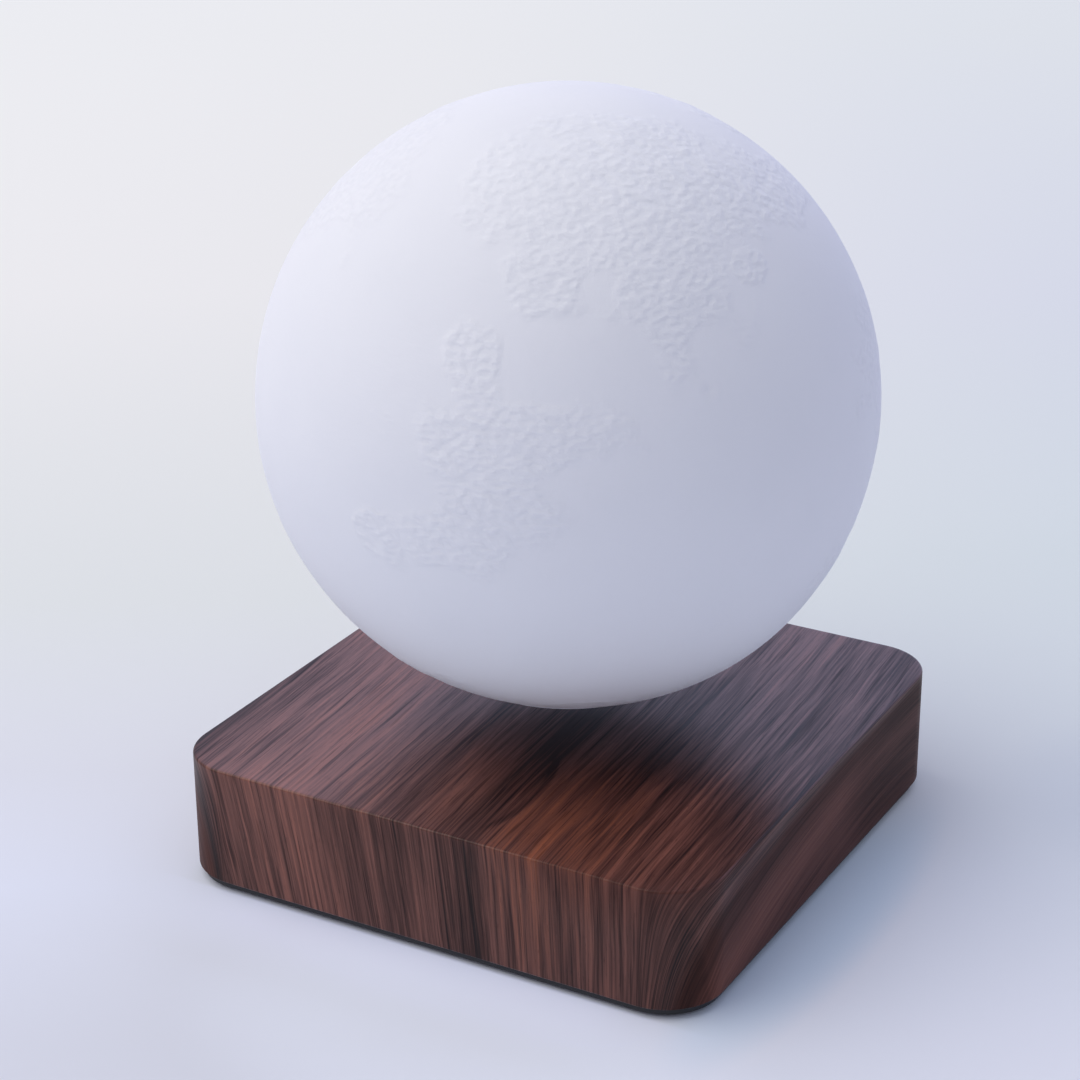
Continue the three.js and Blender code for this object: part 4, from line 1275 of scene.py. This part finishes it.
def craterRelief(facing, radius, centre, size, depth):
    # A bowl, depth x (1 - d^2), inside a rim that fades outwards; d is the distance from its middle in radii.
    distance = np.arccos(np.clip(facing @ centre, -1.0, 1.0)) * radius / size
    bowl = np.where(distance < 1.0, -(1.0 - distance ** 2), 0.0)
    height, place, width = globe["craterRim"]
    rim = height * np.exp(-((distance - place) / width) ** 2)
    return depth * (bowl + rim)


def reliefOf(facing, radius):
    # Slow swells everywhere, hills and pits in the highlands, and a few named pits; millimetres.
    spec = globe
    highland = highlandMask(facing, radius)
    places = facing * radius
    wavelength, height = spec["swell"]
    swell = layeredNoise(places + 300.0, wavelength, 3, spec["seed"] + 11) * height
    wavelength, height = spec["hills"]
    hills = layeredNoise(places * spec["hillScale"] + 500.0, wavelength, 2, spec["seed"] + 23) * height
    random = np.random.default_rng(spec["seed"] + 1)
    pits = np.zeros(facing.shape[:-1])
    smallest, largest = spec["craterRadii"]
    for _ in range(spec["craters"]):
        centre = random.normal(size=3)
        centre /= np.linalg.norm(centre)
        size = smallest / (1.0 - random.random() * (1.0 - (smallest / largest) ** 2)) ** 0.5
        near = facing @ centre > math.cos(2.2 * size / radius)
        pits[near] += craterRelief(facing[near], radius, centre, size, spec["craterDepth"] * size)
    relief = swell + highland * (hills + pits) + spec["plainCraters"] * (1.0 - highland) * pits
    for longitude, latitude, size, depth in spec["namedCraters"]:
        relief += craterRelief(facing, radius, directions(longitude, latitude), size, depth)
    return np.clip(relief, -spec["relief"], spec["relief"]), highland


def bulgeOf(facing):
    # Height x (1 + cosine) / 2, over an angle of half width from the bulge's middle.
    longitude, latitude, halfWidth, height = globe["bulge"]
    away = np.arccos(np.clip(facing @ directions(longitude, latitude), -1.0, 1.0))
    share = np.clip(away / math.radians(halfWidth), 0.0, 1.0)
    return height * 0.5 * (1.0 + np.cos(math.pi * share))


def globeOutside(longitude, lip, radius):
    # From the lip up to the pole: direction x (radius - sink + relief), where the print has set in.
    latitude = np.linspace(lip + globe["lipStep"], 90.0, globe["outerRows"])
    facing = directions(longitude[None, :] * np.ones((len(latitude), 1)), latitude[:, None])
    relief, highland = reliefOf(facing, radius)
    relief = relief + bulgeOf(facing)
    fade = np.clip((latitude - lip) * math.radians(1.0) * radius / globe["lipFade"], 0.0, 1.0)[:, None]
    places = facing * (radius - globe["sink"] * fade + relief * fade)[..., None]
    places[-1] = places[-1].mean(axis=0)
    return places, highland


def globeInside(longitude, lipHeight, radius, opening, neckTop):
    # From the inner pole down to the neck, up over the neck and down to the lip
    spec = globe
    inner, neckOuter, soft = radius - spec["wall"], opening + spec["neckWall"], spec["lipRound"]
    end = -math.degrees(math.acos(neckOuter / inner))
    latitude = np.radians(np.linspace(90.0, end, spec["innerRows"]))
    shell = inner * np.stack([np.cos(latitude), np.sin(latitude)], axis=-1)
    shell[0, 0] = 0.0
    neck = roundCorners([
        shell[-1], (neckOuter, neckTop), (opening, neckTop), (opening, lipHeight + soft),
        (opening + soft * 0.3, lipHeight + soft * 0.2), (opening + soft, lipHeight - soft * 0.2),
    ], [0.0, spec["neckRound"], spec["neckRound"], 0.0, 0.0, 0.0])
    profile = np.concatenate([shell[:-1], neck])
    places = profile[:, :1, None] * directions(longitude, np.zeros(len(longitude)))[None]
    places[..., 2] = profile[:, 1:]
    return places


def makeGlobe():
    # The shell's radius follows from the CAD box and the opening that the cup needs.
    spec = globe
    low, high = heightsOf("moon_shell")
    cupLow, cupHigh = (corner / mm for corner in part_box("float_cup"))
    opening = (cupHigh.x - cupLow.x) / 2.0 + spec["sideGap"]
    height = high - low
    radius = (height ** 2 + opening ** 2) / (2.0 * height)
    centre = high - radius
    longitude = np.arange(spec["columns"]) * (360.0 / spec["columns"])
    lip = math.degrees(math.asin((low - centre) / radius))
    outer, highland = globeOutside(longitude, lip, radius)
    inside = globeInside(longitude, low - centre, radius, opening, cupLow.z + spec["neckTop"] - centre)
    places = np.concatenate([inside, outer])
    places[..., 2] += centre
    piece = gridMesh("moon_globe", places * mm, sharp=40.0)
    isPole = np.ptp(places, axis=1).max(axis=1) < 1e-6
    values = np.concatenate([np.zeros(inside.shape[:2]), highland])
    kept = ~isPole[:, None] | (np.arange(spec["columns"]) == 0)
    attribute = piece.data.attributes.new("highland", "FLOAT", "POINT")
    attribute.data.foreach_set("value", values[kept].astype(np.float32))
    keep(piece, "globe", "globe_white", "moon_shell")


# Float cup, millimetres over its underside: the flat plug in the globe's opening
cup = {
    "radius": 28.0, "inner": 26.2, "shelf": 27.0, "floor": 1.6, "shelfTop": 10.4, "top": 15.0,
    "edge": 0.6, "rim": 0.3, "shelfCorner": 0.1,
}


def makeCup():
    radius, inner, shelf, floor, shelfTop, top, edge, rim, shelfCorner = cup.values()
    profile = roundCorners([
        (0.0, 0.0), (radius, 0.0), (radius, top), (shelf, top), (shelf, shelfTop), (inner, shelfTop),
        (inner, floor), (0.0, floor),
    ], [0.0, edge, rim, rim, shelfCorner, rim, edge, 0.0], steps=6)
    low, _ = heightsOf("float_cup")
    piece = moved(latheMesh("globe_cup", profile * mm, 128), z=low)
    keep(piece, "globe", "white_plastic", "float_cup")


makeGlobe()
makeCup()
print("globe made")

# Floor, light and surroundings. Colours are linear, and places metres.
studio = {
    "floorHalf": 6.0,
    "backwards": (-0.5, 0.87),  # the camera's level directions on the floor: away from it, and to its right
    "rightwards": (0.87, 0.49),
    "left": (  # the floor's colours at the left, and at the right: metres towards the back, and colour
        (-0.10, (0.735, 0.745, 0.800)), (-0.03, (0.780, 0.800, 0.875)), (0.03, (0.750, 0.755, 0.785)),
        (0.14, (0.760, 0.775, 0.735)), (0.44, (0.845, 0.826, 0.765)), (0.91, (0.820, 0.810, 0.735)),
    ),
    "right": (
        (-0.10, (0.900, 0.910, 0.950)), (0.00, (0.800, 0.840, 0.850)), (0.17, (0.720, 0.780, 0.775)),
        (0.43, (0.730, 0.750, 0.775)), (0.91, (0.745, 0.765, 0.720)),
    ),
    "toBack": (-0.2, 1.0),  # metres that the colours' places are counted over
    "toRight": (-0.10, 0.25),  # metres from the left's colours to the right's
    "patches": (  # painted light and shadow on the floor: middle, half sizes, and a factor on the colour. The first lifts the lamp's shadow in front of it, the other two paint a deeper shadow at its right
        (0.030, -0.100, 0.080, 0.050, (1.10, 1.11, 1.12)),
        (0.075, -0.015, 0.020, 0.078, (0.80, 0.91, 0.98)),
        (0.140, 0.090, 0.060, 0.055, (0.93, 0.94, 0.97)),
    ),
    "bounceColor": (0.83, 0.87, 0.94),  # the floor as the lamp is lit by it
    "frontGlow": (0.090, 0.098, 0.165),  # painted light: a paler strip along the lamp's front edge, lifting the lamp's shadow there
    "frontStrip": (0.0698, 0.0716, 0.100),  # metres in front of the middle: where it starts, is full and ends
    "stripEnds": (0.080, 0.042),  # and how far to both sides it ends, and is full
    "floorGlow": (0.30, -0.3, 1.4),  # the floor's own light at the back, and from where to where it grows
    "fade": (1.8, 4.0),  # metres from the lamp over which the floor becomes the surroundings
    "surroundings": (0.82, 0.82, 0.86),  # behind the lamp
    "glossFront": (0.28, 0.29, 0.34),  # in gloss: towards the front, and behind the lamp at both sides
    "glossLeft": (0.92, 0.88, 1.14),
    "glossRight": (0.64, 0.76, 1.12),
    "glossToBack": (-0.5, 0.4),  # between which directions these go over into each other
    "glossToRight": (-0.3, 0.3),
    "glow": (0.50, 0.52, 0.84),  # a soft window behind the lamp, where it stands, and how narrow it is
    "glowFrom": (0.05, 0.93, 0.37),
    "glowPower": 6.0,
    "zenith": (0.49, 0.54, 0.67),  # the light from above, from the horizon and from the left
    "horizon": (0.31, 0.29, 0.42),
    "leftSide": (0.28, 0.26, 0.28),
    "keyFrom": (-0.48, -0.32, 0.82),  # from the lamp's middle
    "lampMiddle": 0.08,
    "keyDistance": 1.5,
    "keySize": 1.7,
    "keyPower": 11.4,
    "keyColor": (1.0, 0.97, 0.89),
}


def seenOrMirrored(path):
    # 1 for what the camera sees, straight, in gloss or through glass, and 0 for what only lights the lamp.
    seen = calc("MAXIMUM", path["Is Camera Ray"], path["Is Glossy Ray"])
    return calc("MAXIMUM", seen, path["Is Transmission Ray"])


def inDirection(x, y, direction):
    return timesPlus(x, direction[0], times(y, direction[1]))


def addLight(share, color, light):
    return vectorMath("MULTIPLY_ADD", share, color, light)[0]


def makeWorld():
    # Light from a direction = zenith x its height + horizon x (1 - height)^3 + left side x (1 - x) / 2, and
    # a window's glow x (cosine of the angle from it)^power. Gloss shows a front and a brighter back in place
    # of the first three, and the camera one plain colour.
    world = bpy.data.worlds.new("studio")
    scene.world = world
    world.use_nodes = True
    tree = world.node_tree
    tree.nodes.clear()
    place = addNode(tree, "ShaderNodeTexCoord").outputs["Generated"]
    x, y, z = split(place)
    height = calc("MAXIMUM", z, 0.0)
    light = addLight(height, studio["zenith"], (0.0, 0.0, 0.0))
    light = addLight(calc("POWER", minus(1.0, height), 3.0), studio["horizon"], light)
    light = addLight(timesPlus(x, -0.5, 0.5), studio["leftSide"], light)
    toRight = remap(inDirection(x, y, studio["rightwards"]), *studio["glossToRight"])
    behind = mixColor(toRight, studio["glossLeft"], studio["glossRight"])
    gloss = mixColor(remap(y, *studio["glossToBack"]), studio["glossFront"], behind)
    path = addNode(tree, "ShaderNodeLightPath").outputs
    facing = vectorMath("DOT_PRODUCT", place, studio["glowFrom"])["Value"]
    window = calc("POWER", calc("MAXIMUM", facing, 0.0), studio["glowPower"])
    light = addLight(window, studio["glow"], mixColor(path["Is Glossy Ray"], light, gloss))
    seen = calc("MAXIMUM", path["Is Camera Ray"], path["Is Transmission Ray"])
    color = mixColor(seen, light, studio["surroundings"])
    background = addNode(tree, "ShaderNodeBackground", {"Color": color, "Strength": 1.0})
    addNode(tree, "ShaderNodeOutputWorld", {"Surface": background.outputs[0]})


def floorColor(x, y, back):
    right = remap(inDirection(x, y, studio["rightwards"]), *studio["toRight"])
    nearest, farthest = studio["toBack"]
    share = over(minus(back, nearest), farthest - nearest)
    sides = [ramp(share, [((at - nearest) / (farthest - nearest), tone) for at, tone in studio[side]])
             for side in ("left", "right")]
    color = mixColor(right, *sides)
    # painted light and shadow: the patches lighten or darken the floor's colour
    for patch in studio["patches"]:
        change = mixColor(patchMask(x, y, patch, 1.0, 0.1), (1.0, 1.0, 1.0), patch[-1])
        color = mixColor(1.0, color, change, blend="MULTIPLY")
    return color


def frontStrip(x, y):
    start, full, end = studio["frontStrip"]
    ahead = times(y, -1.0)
    strip = times(remap(ahead, start, full), remap(ahead, end, full))
    return times(strip, remap(calc("ABSOLUTE", x), *studio["stripEnds"]))


def floorMaterial():
    # The floor takes the lamp's shadow, glows a little towards the back and fades into the surroundings.
    # Painted light along the lamp's front edge, and painted light and shadow in its colour, lie over that.
    # From below it is clear.
    material = bpy.data.materials.new("floor")
    material.use_nodes = True
    tree = material.node_tree
    tree.nodes.clear()

    def emission(color, strength=1.0):
        return addNode(tree, "ShaderNodeEmission", {"Color": color, "Strength": strength}).outputs[0]

    def add(first, second):
        return addNode(tree, "ShaderNodeAddShader", {0: first, 1: second}).outputs[0]

    def mix(share, first, second):
        return addNode(tree, "ShaderNodeMixShader", {0: share, 1: first, 2: second}).outputs[0]

    place = addNode(tree, "ShaderNodeTexCoord").outputs["Object"]
    x, y, _ = split(place)
    back = inDirection(x, y, studio["backwards"])
    seen = seenOrMirrored(addNode(tree, "ShaderNodeLightPath").outputs)
    color = mixColor(seen, studio["bounceColor"], floorColor(x, y, back))
    most, glowFrom, glowTo = studio["floorGlow"]
    glow = times(times(remap(back, glowFrom, glowTo), most), seen)
    lit = addNode(tree, "ShaderNodeBsdfDiffuse", {"Color": color}).outputs[0]
    lit = add(lit, emission(studio["surroundings"], glow))
    # painted light: a glow that the camera sees along the lamp's front edge, lifting the lamp's shadow there
    lit = add(lit, emission(studio["frontGlow"], times(frontStrip(x, y), seen)))
    away = remap(vectorMath("LENGTH", place)["Value"], *studio["fade"])
    whole = mix(away, lit, emission(studio["surroundings"]))
    fromBelow = addNode(tree, "ShaderNodeNewGeometry").outputs["Backfacing"]
    surface = mix(fromBelow, whole, addNode(tree, "ShaderNodeBsdfTransparent").outputs[0])
    addNode(tree, "ShaderNodeOutputMaterial", {"Surface": surface})
    return material


def makeFloor():
    half = studio["floorHalf"]
    mesh = bpy.data.meshes.new("floor")
    mesh.from_pydata([(x, y, 0.0) for x, y in corners(half, half)], [], [(0, 1, 2, 3)])
    mesh.materials.append(floorMaterial())
    floor = bpy.data.objects.new("floor", mesh)
    scene.collection.objects.link(floor)


def makeKeyLight():
    data = bpy.data.lights.new("key", "AREA")
    data.shape = "DISK"
    data.size = studio["keySize"]
    data.energy = studio["keyPower"]
    data.color = studio["keyColor"]
    light = bpy.data.objects.new("key", data)
    towards = Vector(studio["keyFrom"]).normalized()
    light.location = towards * studio["keyDistance"] + Vector((0.0, 0.0, studio["lampMiddle"]))
    light.rotation_euler = towards.to_track_quat("Z", "Y").to_euler()
    scene.collection.objects.link(light)


makeWorld()
makeFloor()
makeKeyLight()
scene.view_settings.view_transform = "Standard"
print("stage made")
